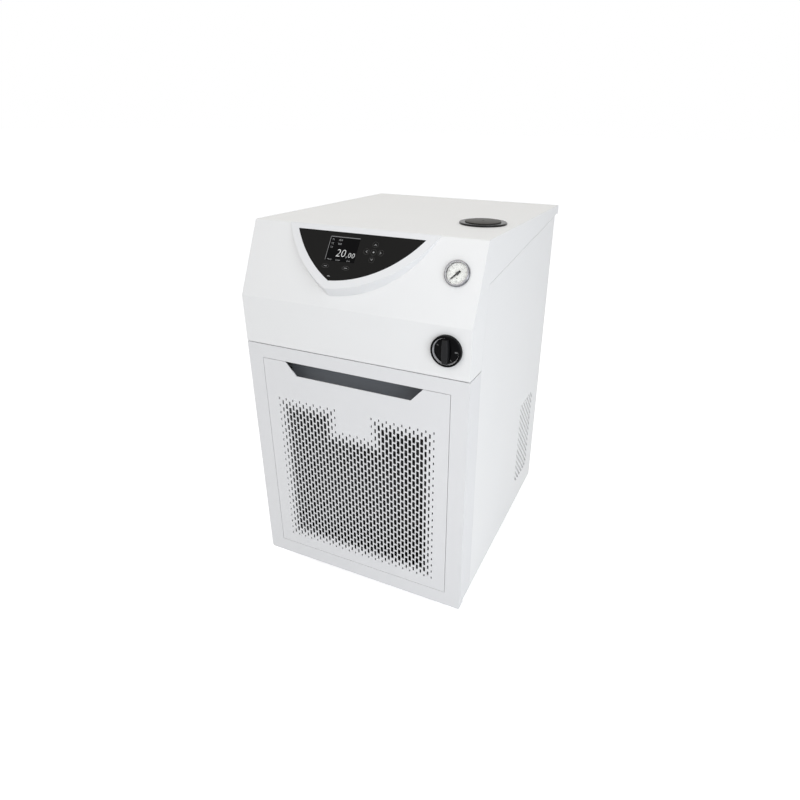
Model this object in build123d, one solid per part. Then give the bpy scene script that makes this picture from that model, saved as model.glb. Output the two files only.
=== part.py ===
from build123d import *
import os
from math import atan2, cos, degrees, hypot, radians, sin

os.makedirs("parts", exist_ok=True)

# Floor-standing recirculating chiller. Sizes are in millimetres and degrees.
# x runs to the right of someone facing the front, y from the front to the rear, z up.
# The origin is on the floor under the middle of the whole machine.

# Housing
housing_width = 350.0
hood_depth = 425.0  # front face to the rear lip of the hood
body_depth = 402.0  # front face to the outer face of the rear panel
ground_clearance = 40.0  # floor to the lower edge of the skirt
sheet = 1.5
panel_gap = 0.5  # hairline between two panels
fold_width = 14.0  # inward folds along the edges of the panels

# Hood: heights are measured up from the lower edge of the skirt
seam_height = 381.0
seam_gap = 1.2
fascia_height = 69.4  # seam to the foot of the slope
slope_height = 99.6  # foot of the slope to the top
slope_depth = 47.2  # front face to the top edge of the slope
bend_round = 3.0
hood_lip = 15.0
hood_flange_rear = 13.0  # side flange, down from the top at the rear
hood_flange_front = 56.0  # side flange, down from the top behind the control head
cheek_depth_top = 57.0  # depth of the control head's cheeks at the top
cheek_depth_seam = 42.0  # and at the seam, which is also the depth of the frame's returns
hood_rear_round = 7.0

# Front frame
window_width = 299.4
window_bottom = 24.3
window_top = 359.4
window_return = 12.0
skirt_return = 14.0
skirt_lift = 8.0  # the side panels end this far above the skirt's edge
skirt_round = 4.0
frame_ledge = 30.0
tab_width = 36.0
tab_drop = 36.0

# Front grille
grille_gap = 0.7
grille_fold = 10.0
grip_top_width = 216.0
grip_bottom_width = 180.0
grip_drop = 19.7
slot_columns = 22
slot_field_width = 254.0
slot_field_top = 297.0  # height of the first row of slots
slot_width = 5.4
slot_length = 17.0
slot_corner = 1.5
slot_short_width = 4.4
slot_short_length = 11.0
slot_dot_width = 3.2
slot_dot_length = 5.4
bare_field_width = 62.0
bare_field_drop = 36.0
slot_dot_rank = 0.7  # places from the rim of the field that still hold a dot
slot_short_rank = 1.4  # and a short slot

# Slanting slots in the right side panel
vent_front = 279.4
vent_rear = 358.9
vent_bottom = 57.0
vent_top = 221.0
vent_pitch = 11.9
vent_slot = 4.0

# Rear panel
port_spacing = 80.0
port_edge = 70.0  # left side to the first port
port_height = 490.0
port_reach = 48.0  # outer face of the rear panel to the end of a port
port_radius = 13.2
port_thread = 18.0
port_bore = 9.0
port_neck_radius = 13.5
port_stop = 4.0  # inner end of the neck to the bore
port_hex = 32.0
port_hex_thickness = 9.0
port_hole_clearance = 0.3
inlet_edge = 65.0  # left side to the middle of the inlet
inlet_height = 62.0
inlet_width = 27.0
inlet_tall = 20.0
inlet_depth = 24.0
inlet_recess = 17.0
inlet_wall = 1.5
inlet_ear = 7.0
inlet_pin_length = 11.0
inlet_pin_width = 2.0
inlet_pin_tall = 4.0
inlet_pin_places = ((-7.0, -2.0), (7.0, -2.0), (0.0, 3.0))
socket_x = 10.0
socket_height = 400.0
socket_plate_width = 96.0
socket_plate_tall = 34.0
rear_slot_count = 10
rear_slot_length = 150.0
rear_slot_height = 5.0
rear_slot_pitch = 12.0
rear_slot_bottom = 150.0
screw_radius = 2.0
screw_head_radius = 4.0
screw_head = 2.2
screw_clearance = 0.15
screw_rows = 3
screw_inset = 7.0

# Base pan and castors
pan_wall = 10.0
castor_edge = 45.0  # side of the housing to the swivel axis
castor_inset = 56.0  # front or rear face to the swivel axis
castor_plate = 40.0
castor_plate_thickness = 2.0
race_radius = 14.0
race_height = 4.5
swivel_gap = 0.3
stem_radius = 4.0
running_fit = 0.05
fork_top = 2.2
fork_cheek = 2.0
wheel_radius = 17.0
wheel_width = 14.0
wheel_side_gap = 0.8
wheel_hub_radius = 5.5
wheel_web_radius = 8.5
wheel_rim_radius = 12.75
wheel_dish = 2.5
wheel_shoulder = 1.0
wheel_tread_round = 2.0
wheel_trail = 14.0
axle_radius = 3.0
axle_head = 1.0  # riveted ends outside the cheeks
lever_pin_radius = 2.0
lever_hub_radius = 4.0
lever_behind = 17.0  # brake pivot, behind the wheel's axle
lever_above = 16.0  # and above it
lever_pedal = 18.0
brake_gap = 0.35
brake_angle = 25.0  # from released to the cam on the tread
brake_lobe = 1.5

# Refrigeration circuit
condenser_width = 236.0
condenser_height = 280.0
condenser_front = 34.0
condenser_depth = 38.0
fin_pitch = 8.0
fin_groove = 5.0
fin_groove_depth = 6.0
end_plate = 1.5
end_plate_proud = 2.0  # in front of the fins
shroud_gap = 4.0  # fins to the shroud
header_radius = 7.0
fan_radius = 96.0
fan_gap = 4.0
fan_centre = 141.0  # above the pan
fan_blades = 7
fan_hub_radius = 26.0
fan_hub_depth = 22.0
fan_start = 84.0
blade_sunk = 3.0  # into the hub
blade_root = 26.0
blade_root_thickness = 2.2
blade_root_angle = 48.0
blade_tip = 50.0
blade_tip_thickness = 1.4
blade_tip_angle = 22.0
shroud_collar = 16.0
motor_radius = 25.8
motor_depth = 44.0
motor_shaft = 3.0
motor_nose = 8.0  # in front of the bracket
motor_flange = 5.0
bracket_depth = 42.0
bracket_post = 4.0
bracket_reach = 108.0
bracket_ring = 6.0
bracket_arm = 10.0
bracket_sheet = 2.0
compressor_x = -55.0
compressor_depth = 262.0
compressor_radius = 72.0
compressor_height = 160.0
compressor_foot = 62.0
foot_sheet = 3.0
foot_corner = 12.0
foot_hole_inset = 14.0
pot_dome = 26.0  # height of the domed ends
pot_belt = 88.0  # height of the welded belt
belt_reach = 3.0
belt_width = 6.0
shell_step = 2.0  # the upper shell is this much smaller
grommet_height = 10.0
grommet_radius = 9.0
grommet_peg = 3.0
peg_proud = 8.0
peg_clearance = 0.2
stub_height = 14.0
stub_sunk = 8.0
stub_spread = 22.0
drier_depth = 120.0
drier_radius = 11.0
drier_length = 90.0
drier_neck = 12.0
drier_cone = 6.0
drier_clamp_width = 16.0
drier_clamp_depth = 12.0
pipe_radius = 4.0
pipe_bend = 14.0
capillary_radius = 1.6
capillary_bend = 9.0

# Bath, pump and hoses
shelf_height = 310.0  # above the pan
shelf_front = 60.0
shelf_wall = 50.0
tank_edge = 20.0  # right side of the housing to the tank
tank_gap = 15.0  # evaporator to the tank
tank_front = 95.0
tank_rear = 355.0
tank_height = 135.0
tank_wall = 1.2
tank_corner = 18.0
lid_thickness = 3.0
lid_overhang = 4.0
evaporator_width = 56.0
evaporator_front = 215.0
evaporator_rear = 305.0
evaporator_height = 110.0
evaporator_gap = 2.0  # to the pump's head
evaporator_plates = 6
evaporator_groove = 3.0
evaporator_groove_depth = 2.0
evaporator_stub = 8.0
evaporator_outlet = 77.0  # shelf to the stub into the tank
filler_edge = 49.0  # right side of the housing to the filler's axis
filler_depth = 163.0
filler_flange_radius = 33.5
filler_flange = 2.5
filler_radius = 24.0
filler_wall = 2.0
cap_radius = 25.5
cap_thickness = 5.0
cap_dimple_radius = 1.6
cap_dimple = 0.8
cap_plug = 12.0
cap_gap = 0.3
seal_thickness = 1.5
seal_inset = 0.5  # inside the cap's rim
pump_height = 48.0  # shelf to the pump's axis
pump_front = 110.0
pump_motor_radius = 34.0
pump_motor_length = 104.0
pump_ribs = 5
pump_rib = 3.0
pump_rib_start = 18.0
pump_rib_pitch = 15.0
pump_head_radius = 42.0
pump_head_depth = 34.0
pump_head_corner = 4.0
pump_inlet = 10.0
pump_outlet = 8.0
pump_foot = 52.0
pump_foot_inset = 14.0
pump_foot_lap = 4.0
hose_radius = 9.0
drain_hose_radius = 7.0
hose_bend = 20.0
hose_inset = 30.0  # hose ends, in from the tank's rear face
overflow_inset = 60.0  # left side of the tank to the spout
overflow_radius = 6.0
overflow_wall = 1.5
overflow_reach = 22.0
overflow_drop = 16.0
drain_edge = 55.0  # right side of the housing to the drain
drain_height = 60.0
drain_radius = 8.0
drain_reach = 36.0
drain_body = 19.0
drain_body_depth = 26.0
spout_radius = 6.0
spout_bore = 4.0
spout_bore_depth = 8.0
barb_radius = 7.0
barb_width = 2.0
barb_place = 5.0  # back from the spout's end
spindle_radius = 2.5
spindle_depth = 6.0
spindle_gap = 0.5
spindle_proud = 0.2  # above the lever
lever_length = 34.0
lever_width = 9.0
lever_thickness = 2.5
lever_gap = 0.3
lever_hub = 6.0
lever_place = 16.0  # rear panel to the lever's axis

# Control shield on the slope: places are (x, distance down the slope)
shield_tilt = 9.7
shield_rise = 0.8
shield_border = 11.0
shield_draft = 15.0
shield_wall = 2.5
shield_tip_round = 9.0
shield_reach = 40.0  # how far the drafted walls go down, before the hood cuts them
foil_left = (-97.7, 7.9)
foil_right = (93.8, 8.1)
foil_tip = (-29.5, 76.9)
foil_left_middle = (-73.4, 41.9)
foil_right_middle = (48.2, 51.6)
foil_recess = 0.6
foil_thickness = 0.5
display_left = -43.5
display_top = 14.3
display_width = 45.0
display_tall = 35.0
display_depth = 4.0
board_gap = 12.0
board_width = 176.0
board_inset = 20.0  # top edge of the slope to the board
board_tall = 62.0
board_thickness = 1.6
board_post = 3.0
board_post_inset = 6.0

# Pressure gauge on the slope
gauge_edge = 33.0  # right side of the housing to the gauge
gauge_down = 44.4
gauge_radius = 16.5
gauge_rim = 2.5
gauge_proud = 4.0
gauge_case_radius = 15.0
gauge_case_depth = 22.0
gauge_dial = 1.0
gauge_glass = 1.0
gauge_glass_sunk = 0.4
gauge_rim_round = 1.0
gauge_bore_depth = 6.0
pointer_length = 11.0
pointer_tail = 4.0
pointer_width = 1.6
pointer_thickness = 0.6
pointer_hub = 2.0
pointer_pin = 0.9
pointer_pin_depth = 5.0
pointer_low = 0.7  # above the dial
pointer_hub_low = 0.5
pointer_hub_height = 1.4
pointer_rest = 225.0  # direction at zero, from the right, anticlockwise

# Rotary switch on the fascia
switch_edge = 32.5  # right side of the housing to the switch
switch_drop = 30.9  # foot of the slope down to the switch
switch_radius = 20.75
switch_proud = 6.0
switch_wall = 3.1
switch_rim_round = 1.2
switch_ring_wall = 0.6
switch_ring_back = 0.5
knob_gap = 0.4
knob_disc = 2.0
knob_recess = 3.0  # the disc's face, behind the collar's rim
knob_proud = 10.0
knob_bar_width = 9.5
knob_bar_end = 7.0
knob_bar_round = 1.0
knob_bar_gap = 0.3  # inside the disc's edge
knob_shaft = 4.0
knob_shaft_length = 14.0
switch_body = 44.0
switch_body_depth = 42.0
switch_body_corner = 4.0
switch_bore_depth = 17.0

# Places worked out from the sizes above
slope_foot_height = seam_height + fascia_height
housing_height = slope_foot_height + slope_height
front_y = knob_proud - (knob_proud + body_depth + port_reach) / 2
half_width = housing_width / 2
port_x = port_edge - half_width
inlet_x = inlet_edge - half_width
castor_x = half_width - castor_edge
filler_x = half_width - filler_edge
drain_x = half_width - drain_edge
gauge_x = half_width - gauge_edge
switch_x = half_width - switch_edge
switch_height = slope_foot_height - switch_drop
inner_half = half_width - sheet
top_z = ground_clearance + housing_height
seam_top = ground_clearance + seam_height + seam_gap / 2
seam_bottom = ground_clearance + seam_height - seam_gap / 2
side_bottom = ground_clearance + skirt_lift
pan_under = side_bottom + sheet
pan_top = pan_under + sheet
shelf_top = pan_top + shelf_height
tank_bottom = shelf_top
tank_top = tank_bottom + tank_height
rear_y = front_y + body_depth
rear_inner = rear_y - sheet
port_z = ground_clearance + port_height
drain_z = ground_clearance + drain_height
compressor_y = front_y + compressor_depth
compressor_low = pan_top + grommet_height
pump_x = port_x
pump_z = shelf_top + pump_height
pump_y = front_y + pump_front
evaporator_right = pump_x + pump_head_radius + evaporator_gap + evaporator_width
tank_left = evaporator_right + tank_gap
tank_right = half_width - tank_edge
overflow_x = tank_left + overflow_inset
pan_half = inner_half - panel_gap / 2
socket_radius = socket_plate_tall / 4
plate_under = pan_under - castor_plate_thickness
race_under = plate_under - race_height
fork_upper = race_under - swivel_gap
cheek_inner = wheel_width / 2 + wheel_side_gap
cheek_outer = cheek_inner + fork_cheek
condenser_low = pan_top
condenser_high = pan_top + condenser_height + 2 * end_plate
condenser_rear = condenser_front + condenser_depth
header_x = condenser_width / 2 + end_plate + header_radius
header_y = front_y + (condenser_front + condenser_rear) / 2
discharge_z = condenser_high - 2 * stub_height
liquid_z = condenser_low + 3 * stub_height
shroud_y = front_y + condenser_rear + shroud_gap
fan_z = pan_top + fan_centre
bracket_y = shroud_y + end_plate + bracket_depth
drier_y = front_y + drier_depth
tank_x = (tank_left + tank_right) / 2
tank_y = front_y + (tank_front + tank_rear) / 2
evaporator_mid_y = front_y + (evaporator_front + evaporator_rear) / 2
suction_port_x = compressor_x + stub_spread
capillary_port_x = evaporator_right - evaporator_stub
filler_y = front_y + filler_depth
cap_low = top_z + filler_flange + seal_thickness + cap_gap
pump_rear = pump_y + pump_motor_length + pump_head_depth
lever_y = rear_y + lever_place
switch_z = ground_clearance + switch_height
collar_inner = switch_radius - switch_wall
ring_inner = collar_inner - switch_ring_wall


def block(x, y, z):
    """A block from three (low, high) pairs."""
    size = Box(x[1] - x[0], y[1] - y[0], z[1] - z[0])
    return Pos(sum(x) / 2, sum(y) / 2, sum(z) / 2) * size


def rod(start, direction, radius, length, bore=0.0):
    """A round bar, or a tube where a bore is given, from a point along a direction."""
    section = Circle(radius)
    if bore:
        section -= Circle(bore)
    return extrude(Plane(origin=start, z_dir=direction) * section, amount=length)


def folded(points, thickness):
    """The closed outline of a sheet folded along points, its thickness on their left."""
    headings = []
    for (ax, ay), (bx, by) in zip(points, points[1:]):
        run = hypot(bx - ax, by - ay)
        headings.append(((bx - ax) / run, (by - ay) / run))
    other_face = []
    for i, (px, py) in enumerate(points):
        ux, uy = headings[max(i - 1, 0)]
        vx, vy = headings[min(i, len(headings) - 1)]
        share = thickness / (1 + ux * vx + uy * vy)
        other_face.append((px - (uy + vy) * share, py + (ux + vx) * share))
    return make_face(Polyline(*points, *reversed(other_face), close=True))


def side_face(points):
    """A flat outline from (y, z) points, standing in the middle of the machine."""
    return Plane.YZ * make_face(Polyline(*points, close=True))


def side_plate(outline, inner, outer):
    """An outline in the side view, given thickness between two x values."""
    return extrude(Pos(inner, 0, 0) * outline, amount=outer - inner)


def front_plane(depth, x=0.0, z=0.0):
    """A plane that faces the front, a depth behind the front face."""
    return Plane(origin=(x, front_y + depth, z), x_dir=(1, 0, 0), z_dir=(0, -1, 0))


def pipe(points, radius, bend):
    """A round pipe along straight runs joined by tangent bends."""
    path = FilletPolyline(*points, radius=bend)
    return sweep(Plane(origin=path @ 0, z_dir=path % 0) * Circle(radius), path=path)


def nearest(corners, x, y):
    """The corner of a flat outline that lies nearest to a place."""
    return corners.sort_by_distance((x, y, 0))[0]


def save(name, shape):
    """Write one piece, or one group of like pieces, to its own file."""
    export_step(shape, f"parts/{name}.step")


# The slope of the control face: x to the right, y up the slope, z out of it
slope_run = hypot(slope_depth, housing_height - slope_foot_height)
slope_out = Vector(0, -(housing_height - slope_foot_height) / slope_run, slope_depth / slope_run)
slope_origin = Vector(0, front_y + slope_depth, top_z)
slope_plane = Plane(origin=slope_origin, x_dir=(1, 0, 0), z_dir=slope_out)


def on_slope(x, down, out=0.0):
    """The place of a point given across, down and out of the slope."""
    return slope_plane.from_local_coords(Vector(x, -down, out))


def make_hood():
    """Top, slope and fascia as one folded strip, closed by side flanges."""
    top = top_z
    foot = ground_clearance + slope_foot_height
    path = [
        (front_y + hood_depth, top - hood_lip),
        (front_y + hood_depth, top),
        (front_y + slope_depth, top),
        (front_y, foot),
        (front_y, seam_top),
    ]
    outline = folded(path, sheet)
    for y, z in path[1:4]:
        outline = fillet(nearest(outline.vertices(), y, z), bend_round)
    strip = side_plate(Plane.YZ * outline, -half_width, half_width)
    flange_outline = make_face(
        Polyline(
            (front_y, seam_top),
            (front_y, foot),
            (front_y + slope_depth, top),
            (front_y + hood_depth, top),
            (front_y + hood_depth, top - hood_flange_rear),
            (front_y + cheek_depth_top, top - hood_flange_front),
            (front_y + cheek_depth_seam, seam_top),
            close=True,
        )
    )
    for y, z in path[1:4]:
        flange_outline = fillet(nearest(flange_outline.vertices(), y, z), bend_round)
    rear_corner = (front_y + hood_depth, top - hood_flange_rear)
    flange_outline = fillet(nearest(flange_outline.vertices(), *rear_corner), hood_rear_round)
    hood = strip
    for side in (-1, 1):
        hood += side_plate(Plane.YZ * flange_outline, side * inner_half, side * half_width)
    hood -= rod((filler_x, front_y + filler_depth, top - 2 * sheet), (0, 0, 1),
                filler_radius + panel_gap, 3 * sheet)
    gauge_hole = gauge_case_radius + panel_gap / 2
    hood -= rod(on_slope(gauge_x, gauge_down, -3 * sheet), slope_out, gauge_hole, 4 * sheet)
    display_hole = Pos(display_left + display_width / 2, -(display_top + display_tall / 2)) \
        * Rectangle(display_width, display_tall)
    hood -= extrude(slope_plane.offset(-3 * sheet) * display_hole, amount=5 * sheet)
    switch_hole = switch_radius - switch_wall + panel_gap
    hood -= rod((switch_x, front_y - sheet, ground_clearance + switch_height), (0, 1, 0),
                switch_hole, 3 * sheet)
    return hood


def make_front_frame():
    """Front plate round the window, with side returns, skirt, ledge and a hanging tab."""
    bottom = ground_clearance
    window_low = bottom + window_bottom
    window_high = bottom + window_top
    window_mid = (window_low + window_high) / 2
    plate = block((-half_width, half_width), (front_y, front_y + sheet), (bottom, seam_bottom))
    opening = Pos(0, window_mid) * Rectangle(window_width, window_high - window_low)
    rim = Pos(0, window_mid) * Rectangle(window_width + 2 * sheet, window_high - window_low + 2 * sheet)
    frame = plate - extrude(front_plane(2 * sheet) * opening, amount=4 * sheet)
    frame += extrude(front_plane(window_return) * (rim - opening), amount=window_return)
    return_outline = side_face([
        (front_y, bottom),
        (front_y + skirt_return, bottom),
        (front_y + skirt_return, side_bottom),
        (front_y + cheek_depth_seam, side_bottom),
        (front_y + cheek_depth_seam, seam_bottom),
        (front_y, seam_bottom),
    ])
    for side in (-1, 1):
        frame += side_plate(return_outline, side * inner_half, side * half_width)
    frame += block((-half_width, half_width), (front_y, front_y + skirt_return), (bottom, bottom + sheet))
    frame += block((-half_width, half_width), (front_y, front_y + frame_ledge),
                   (seam_bottom - sheet, seam_bottom))
    frame += block((-tab_width / 2, tab_width / 2), (front_y + frame_ledge - sheet, front_y + frame_ledge),
                   (seam_bottom - tab_drop, seam_bottom))
    lower_corners = (frame.edges().filter_by(Axis.Y)
                     .filter_by(lambda e: abs(abs(e.center().X) - half_width) < sheet / 10
                                and abs(e.center().Z - bottom) < sheet / 10))
    return fillet(lower_corners, skirt_round)


def slot_sizes(column, row, last):
    """Width and length of a slot by its place in the field, or None in the bare patch.

    The slots shrink towards the rim of the field and round the bare patch at its top."""
    pitch = slot_field_width / last
    x = column * pitch - slot_field_width / 2
    beside = (abs(x) - bare_field_width / 2) / pitch
    below = row - bare_field_drop / pitch
    rank = min(column, last - column, row, last - row, max(beside, below))
    if rank < 0:
        return None
    if rank < slot_dot_rank:
        return slot_dot_width, slot_dot_length
    if rank < slot_short_rank:
        return slot_short_width, slot_short_length
    return slot_width, slot_length


def make_front_grille():
    """Pull-off panel: folded edges, a grip recess in the top edge and a graded field of slots."""
    half = window_width / 2 - grille_gap
    low = ground_clearance + window_bottom + grille_gap
    high = ground_clearance + window_top - grille_gap
    outline = make_face(
        Polyline(
            (-half, low),
            (half, low),
            (half, high),
            (grip_top_width / 2, high),
            (grip_bottom_width / 2, high - grip_drop),
            (-grip_bottom_width / 2, high - grip_drop),
            (-grip_top_width / 2, high),
            (-half, high),
            close=True,
        )
    )
    inner = offset(outline, -sheet, kind=Kind.INTERSECTION)
    last = slot_columns - 1
    pitch = slot_field_width / last
    slots = []
    for column in range(slot_columns):
        for row in range(column % 2, slot_columns, 2):
            size = slot_sizes(column, row, last)
            if size is None:
                continue
            width, length = size
            x = column * pitch - slot_field_width / 2
            z = ground_clearance + slot_field_top - row * pitch
            cut = min(slot_corner, width / 3)
            slots.append(
                make_face(
                    Polyline(
                        (x - width / 2, z - length / 2 + cut),
                        (x, z - length / 2 - cut),
                        (x + width / 2, z - length / 2 + cut),
                        (x + width / 2, z + length / 2 - cut),
                        (x, z + length / 2 + cut),
                        (x - width / 2, z + length / 2 - cut),
                        close=True,
                    )
                )
            )
    plate = extrude(front_plane(sheet) * (outline - slots), amount=sheet)
    folds = extrude(front_plane(grille_fold) * (outline - inner), amount=grille_fold)
    return plate + folds


def side_outline():
    """Side panel in the side view, following the frame's return and the hood's flange."""
    gap = panel_gap
    return side_face([
        (front_y + cheek_depth_seam + gap, side_bottom),
        (rear_y, side_bottom),
        (rear_y, flange_edge(body_depth) - gap),
        (front_y + cheek_depth_top + gap, flange_edge(cheek_depth_top) - gap),
        (front_y + cheek_depth_seam + gap, seam_top),
    ])


def flange_edge(depth):
    """Height of the hood's slanting flange edge at a depth."""
    rise = (hood_flange_front - hood_flange_rear) / (hood_depth - cheek_depth_top)
    return top_z - hood_flange_front + rise * (depth - cheek_depth_top)


def vent_slots():
    """Slots slanting down to the rear, clipped to a field with upright ends."""
    width = vent_rear - vent_front
    height = vent_top - vent_bottom
    tall = vent_slot * 2 ** 0.5
    field = Pos(width / 2, height / 2) * Rectangle(width, height)
    first = height + width - vent_pitch
    shapes = []
    for i in range(int(first / vent_pitch)):
        level = first - i * vent_pitch
        band = make_face(
            Polyline(
                (0, level),
                (width, level - width),
                (width, level - width - tall),
                (0, level - tall),
                close=True,
            )
        )
        shapes.append(band & field)
    return shapes


def make_side_panel(side):
    """A side panel with inward folds and a tongue behind the hood's flange."""
    outer = side * half_width
    inner = side * inner_half
    panel = side_plate(side_outline(), inner, outer)
    fold = side * (inner_half - fold_width)
    x_range = tuple(sorted((inner, fold)))
    fold_foot = pan_top + pan_wall + 2 * sheet
    front_fold = front_y + cheek_depth_seam + panel_gap
    panel += block(x_range, (front_fold, rear_inner), (side_bottom, pan_under))
    panel += block(x_range, (front_fold, front_fold + sheet), (fold_foot, seam_bottom))
    panel += block(x_range, (rear_inner - sheet, rear_inner), (fold_foot, flange_edge(body_depth) - panel_gap))
    lap = fold_width / 2
    tongue = side_face([
        (front_y + cheek_depth_top, flange_edge(cheek_depth_top) - lap),
        (rear_inner - sheet, flange_edge(body_depth) - lap),
        (rear_inner - sheet, flange_edge(body_depth) + lap / 2),
        (front_y + cheek_depth_top, flange_edge(cheek_depth_top) + lap / 2),
    ])
    panel += side_plate(tongue, side * (inner_half - sheet), inner)
    if side > 0:
        field = Plane(origin=(inner - sheet, front_y + vent_front, ground_clearance + vent_bottom),
                      x_dir=(0, 1, 0), z_dir=(1, 0, 0))
        for piece in vent_slots():
            panel -= extrude(field * piece, amount=3 * sheet)
    return panel


def screw_places():
    """Screws down both edges of the rear panel, into the folds of the side panels."""
    low = pan_top + pan_wall + fold_width
    high = flange_edge(body_depth) - fold_width
    step = (high - low) / (screw_rows - 1)
    x = inner_half - screw_inset
    return [(side * x, low + row * step) for side in (-1, 1) for row in range(screw_rows)]


def drill_screws(shape):
    """Clearance holes for the rear panel's screws."""
    for x, z in screw_places():
        shape -= rod((x, rear_inner - 2 * sheet, z), (0, 1, 0), screw_radius + screw_clearance, 4 * sheet)
    return shape


def make_screws():
    """Pan-head screws of the rear panel."""
    screws = []
    for x, z in screw_places():
        shank = rod((x, rear_inner - 2 * sheet, z), (0, 1, 0), screw_radius, 3 * sheet)
        head = rod((x, rear_y, z), (0, 1, 0), screw_head_radius, screw_head)
        screws.append(shank + head)
    return Compound(screws)


def make_rear_panel():
    """Flat panel with the ports, sockets, inlet, drain and two banks of slots."""
    half = inner_half - panel_gap / 2
    low = pan_top + pan_wall + panel_gap
    panel = block((-half, half), (rear_inner, rear_y), (low, top_z - sheet - panel_gap))
    for x in port_places():
        panel -= rod((x, rear_inner - sheet, port_z), (0, 1, 0), port_neck_radius + port_hole_clearance,
                     3 * sheet)
    panel -= rod((overflow_x, rear_inner - sheet, tank_top - overflow_drop), (0, 1, 0),
                 overflow_radius + port_hole_clearance, 3 * sheet)
    panel -= rod((drain_x, rear_inner - sheet, ground_clearance + drain_height), (0, 1, 0),
                 drain_radius + port_hole_clearance, 3 * sheet)
    inlet_z = ground_clearance + inlet_height
    panel -= block((inlet_x - inlet_width / 2 - panel_gap, inlet_x + inlet_width / 2 + panel_gap),
                   (rear_inner - sheet, rear_y + sheet),
                   (inlet_z - inlet_tall / 2 - panel_gap, inlet_z + inlet_tall / 2 + panel_gap))
    for x in socket_places():
        panel -= rod((x, rear_inner - sheet, ground_clearance + socket_height), (0, 1, 0),
                     socket_radius + panel_gap, 3 * sheet)
    for row in range(rear_slot_count):
        z = ground_clearance + rear_slot_bottom + row * rear_slot_pitch
        for x in (-rear_slot_length / 2 - rear_slot_pitch, rear_slot_length / 2 + rear_slot_pitch):
            width = rear_slot_length / 2
            panel -= block((x - width / 2, x + width / 2), (rear_inner - sheet, rear_y + sheet),
                           (z - rear_slot_height / 2, z + rear_slot_height / 2))
    return drill_screws(panel)


def port_places():
    """The two pump ports, side by side."""
    return [port_x, port_x + port_spacing]


def make_ports():
    """Threaded port stubs with a hexagon against the rear panel and a neck through it."""
    ports = []
    for x in port_places():
        neck = rod((x, rear_inner - fold_width, port_z), (0, 1, 0), port_neck_radius, fold_width + sheet)
        hexagon = extrude(front_plane(body_depth, x, port_z) * RegularPolygon(port_hex / 2, 6),
                          amount=-port_hex_thickness)
        collar_length = port_reach - port_hex_thickness - port_thread
        collar = rod((x, rear_y + port_hex_thickness, port_z), (0, 1, 0), port_radius - sheet,
                     collar_length)
        thread = rod((x, rear_y + port_reach - port_thread, port_z), (0, 1, 0), port_radius, port_thread)
        bore = rod((x, rear_inner - fold_width + port_stop, port_z), (0, 1, 0), port_bore,
                   fold_width + sheet + port_reach)
        ports.append(neck + hexagon + collar + thread - bore)
    return Compound(ports)


def socket_places():
    """Three round sockets in a row."""
    step = socket_plate_width / 3
    return [socket_x - step, socket_x, socket_x + step]


def make_socket_plate():
    """A plate behind the rear panel with three round sockets reaching through it."""
    z = ground_clearance + socket_height
    plate = block((socket_x - socket_plate_width / 2, socket_x + socket_plate_width / 2),
                  (rear_inner - 2 * sheet, rear_inner),
                  (z - socket_plate_tall / 2, z + socket_plate_tall / 2))
    for x in socket_places():
        plate += rod((x, rear_inner - 8 * sheet, z), (0, 1, 0), socket_radius, 10 * sheet)
        plate -= rod((x, rear_inner - 5 * sheet, z), (0, 1, 0), socket_radius - sheet, 10 * sheet)
    return plate


def make_mains_inlet():
    """Three-pin mains inlet: a flange on the rear panel round a deep recess."""
    z = ground_clearance + inlet_height
    half = inlet_width / 2
    tall = inlet_tall / 2
    face_y = rear_y + 2 * inlet_wall
    floor_y = face_y - inlet_recess
    inlet = block((inlet_x - half, inlet_x + half), (rear_y - inlet_depth, face_y), (z - tall, z + tall))
    inlet += block((inlet_x - half - inlet_ear, inlet_x + half + inlet_ear), (rear_y, face_y),
                   (z - tall - 2 * inlet_wall, z + tall + 2 * inlet_wall))
    inlet -= block((inlet_x - half + inlet_wall, inlet_x + half - inlet_wall),
                   (floor_y, face_y + inlet_wall), (z - tall + inlet_wall, z + tall - inlet_wall))
    for x, lift in inlet_pin_places:
        inlet += block((inlet_x + x - inlet_pin_width / 2, inlet_x + x + inlet_pin_width / 2),
                       (floor_y, floor_y + inlet_pin_length),
                       (z + lift - inlet_pin_tall / 2, z + lift + inlet_pin_tall / 2))
    return inlet


def make_base_pan():
    """Tray that rests on the folds of the side panels."""
    front = front_y + sheet
    rear = rear_inner
    outside = block((-pan_half, pan_half), (front, rear), (pan_under, pan_top + pan_wall))
    inside = block((-pan_half + sheet, pan_half - sheet), (front + sheet, rear - sheet),
                   (pan_top, pan_top + pan_wall + sheet))
    pan = outside - inside
    return pan


def castor_places():
    """Swivel axes: front left, front right, rear left, rear right."""
    front = front_y + castor_inset
    rear = rear_y - castor_inset
    return {
        "front_left": (-castor_x, front),
        "front_right": (castor_x, front),
        "rear_left": (-castor_x, rear),
        "rear_right": (castor_x, rear),
    }


def make_castor_plates():
    """Square plates under the pan, each with its bearing race."""
    plates = []
    for x, y in castor_places().values():
        half = castor_plate / 2
        plate = block((x - half, x + half), (y - half, y + half), (plate_under, pan_under))
        plate += rod((x, y, race_under), (0, 0, 1), race_radius, race_height)
        plate -= rod((x, y, race_under), (0, 0, 1), stem_radius + running_fit,
                     race_height + castor_plate_thickness / 2)
        plates.append(plate)
    return Compound(plates)


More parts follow.
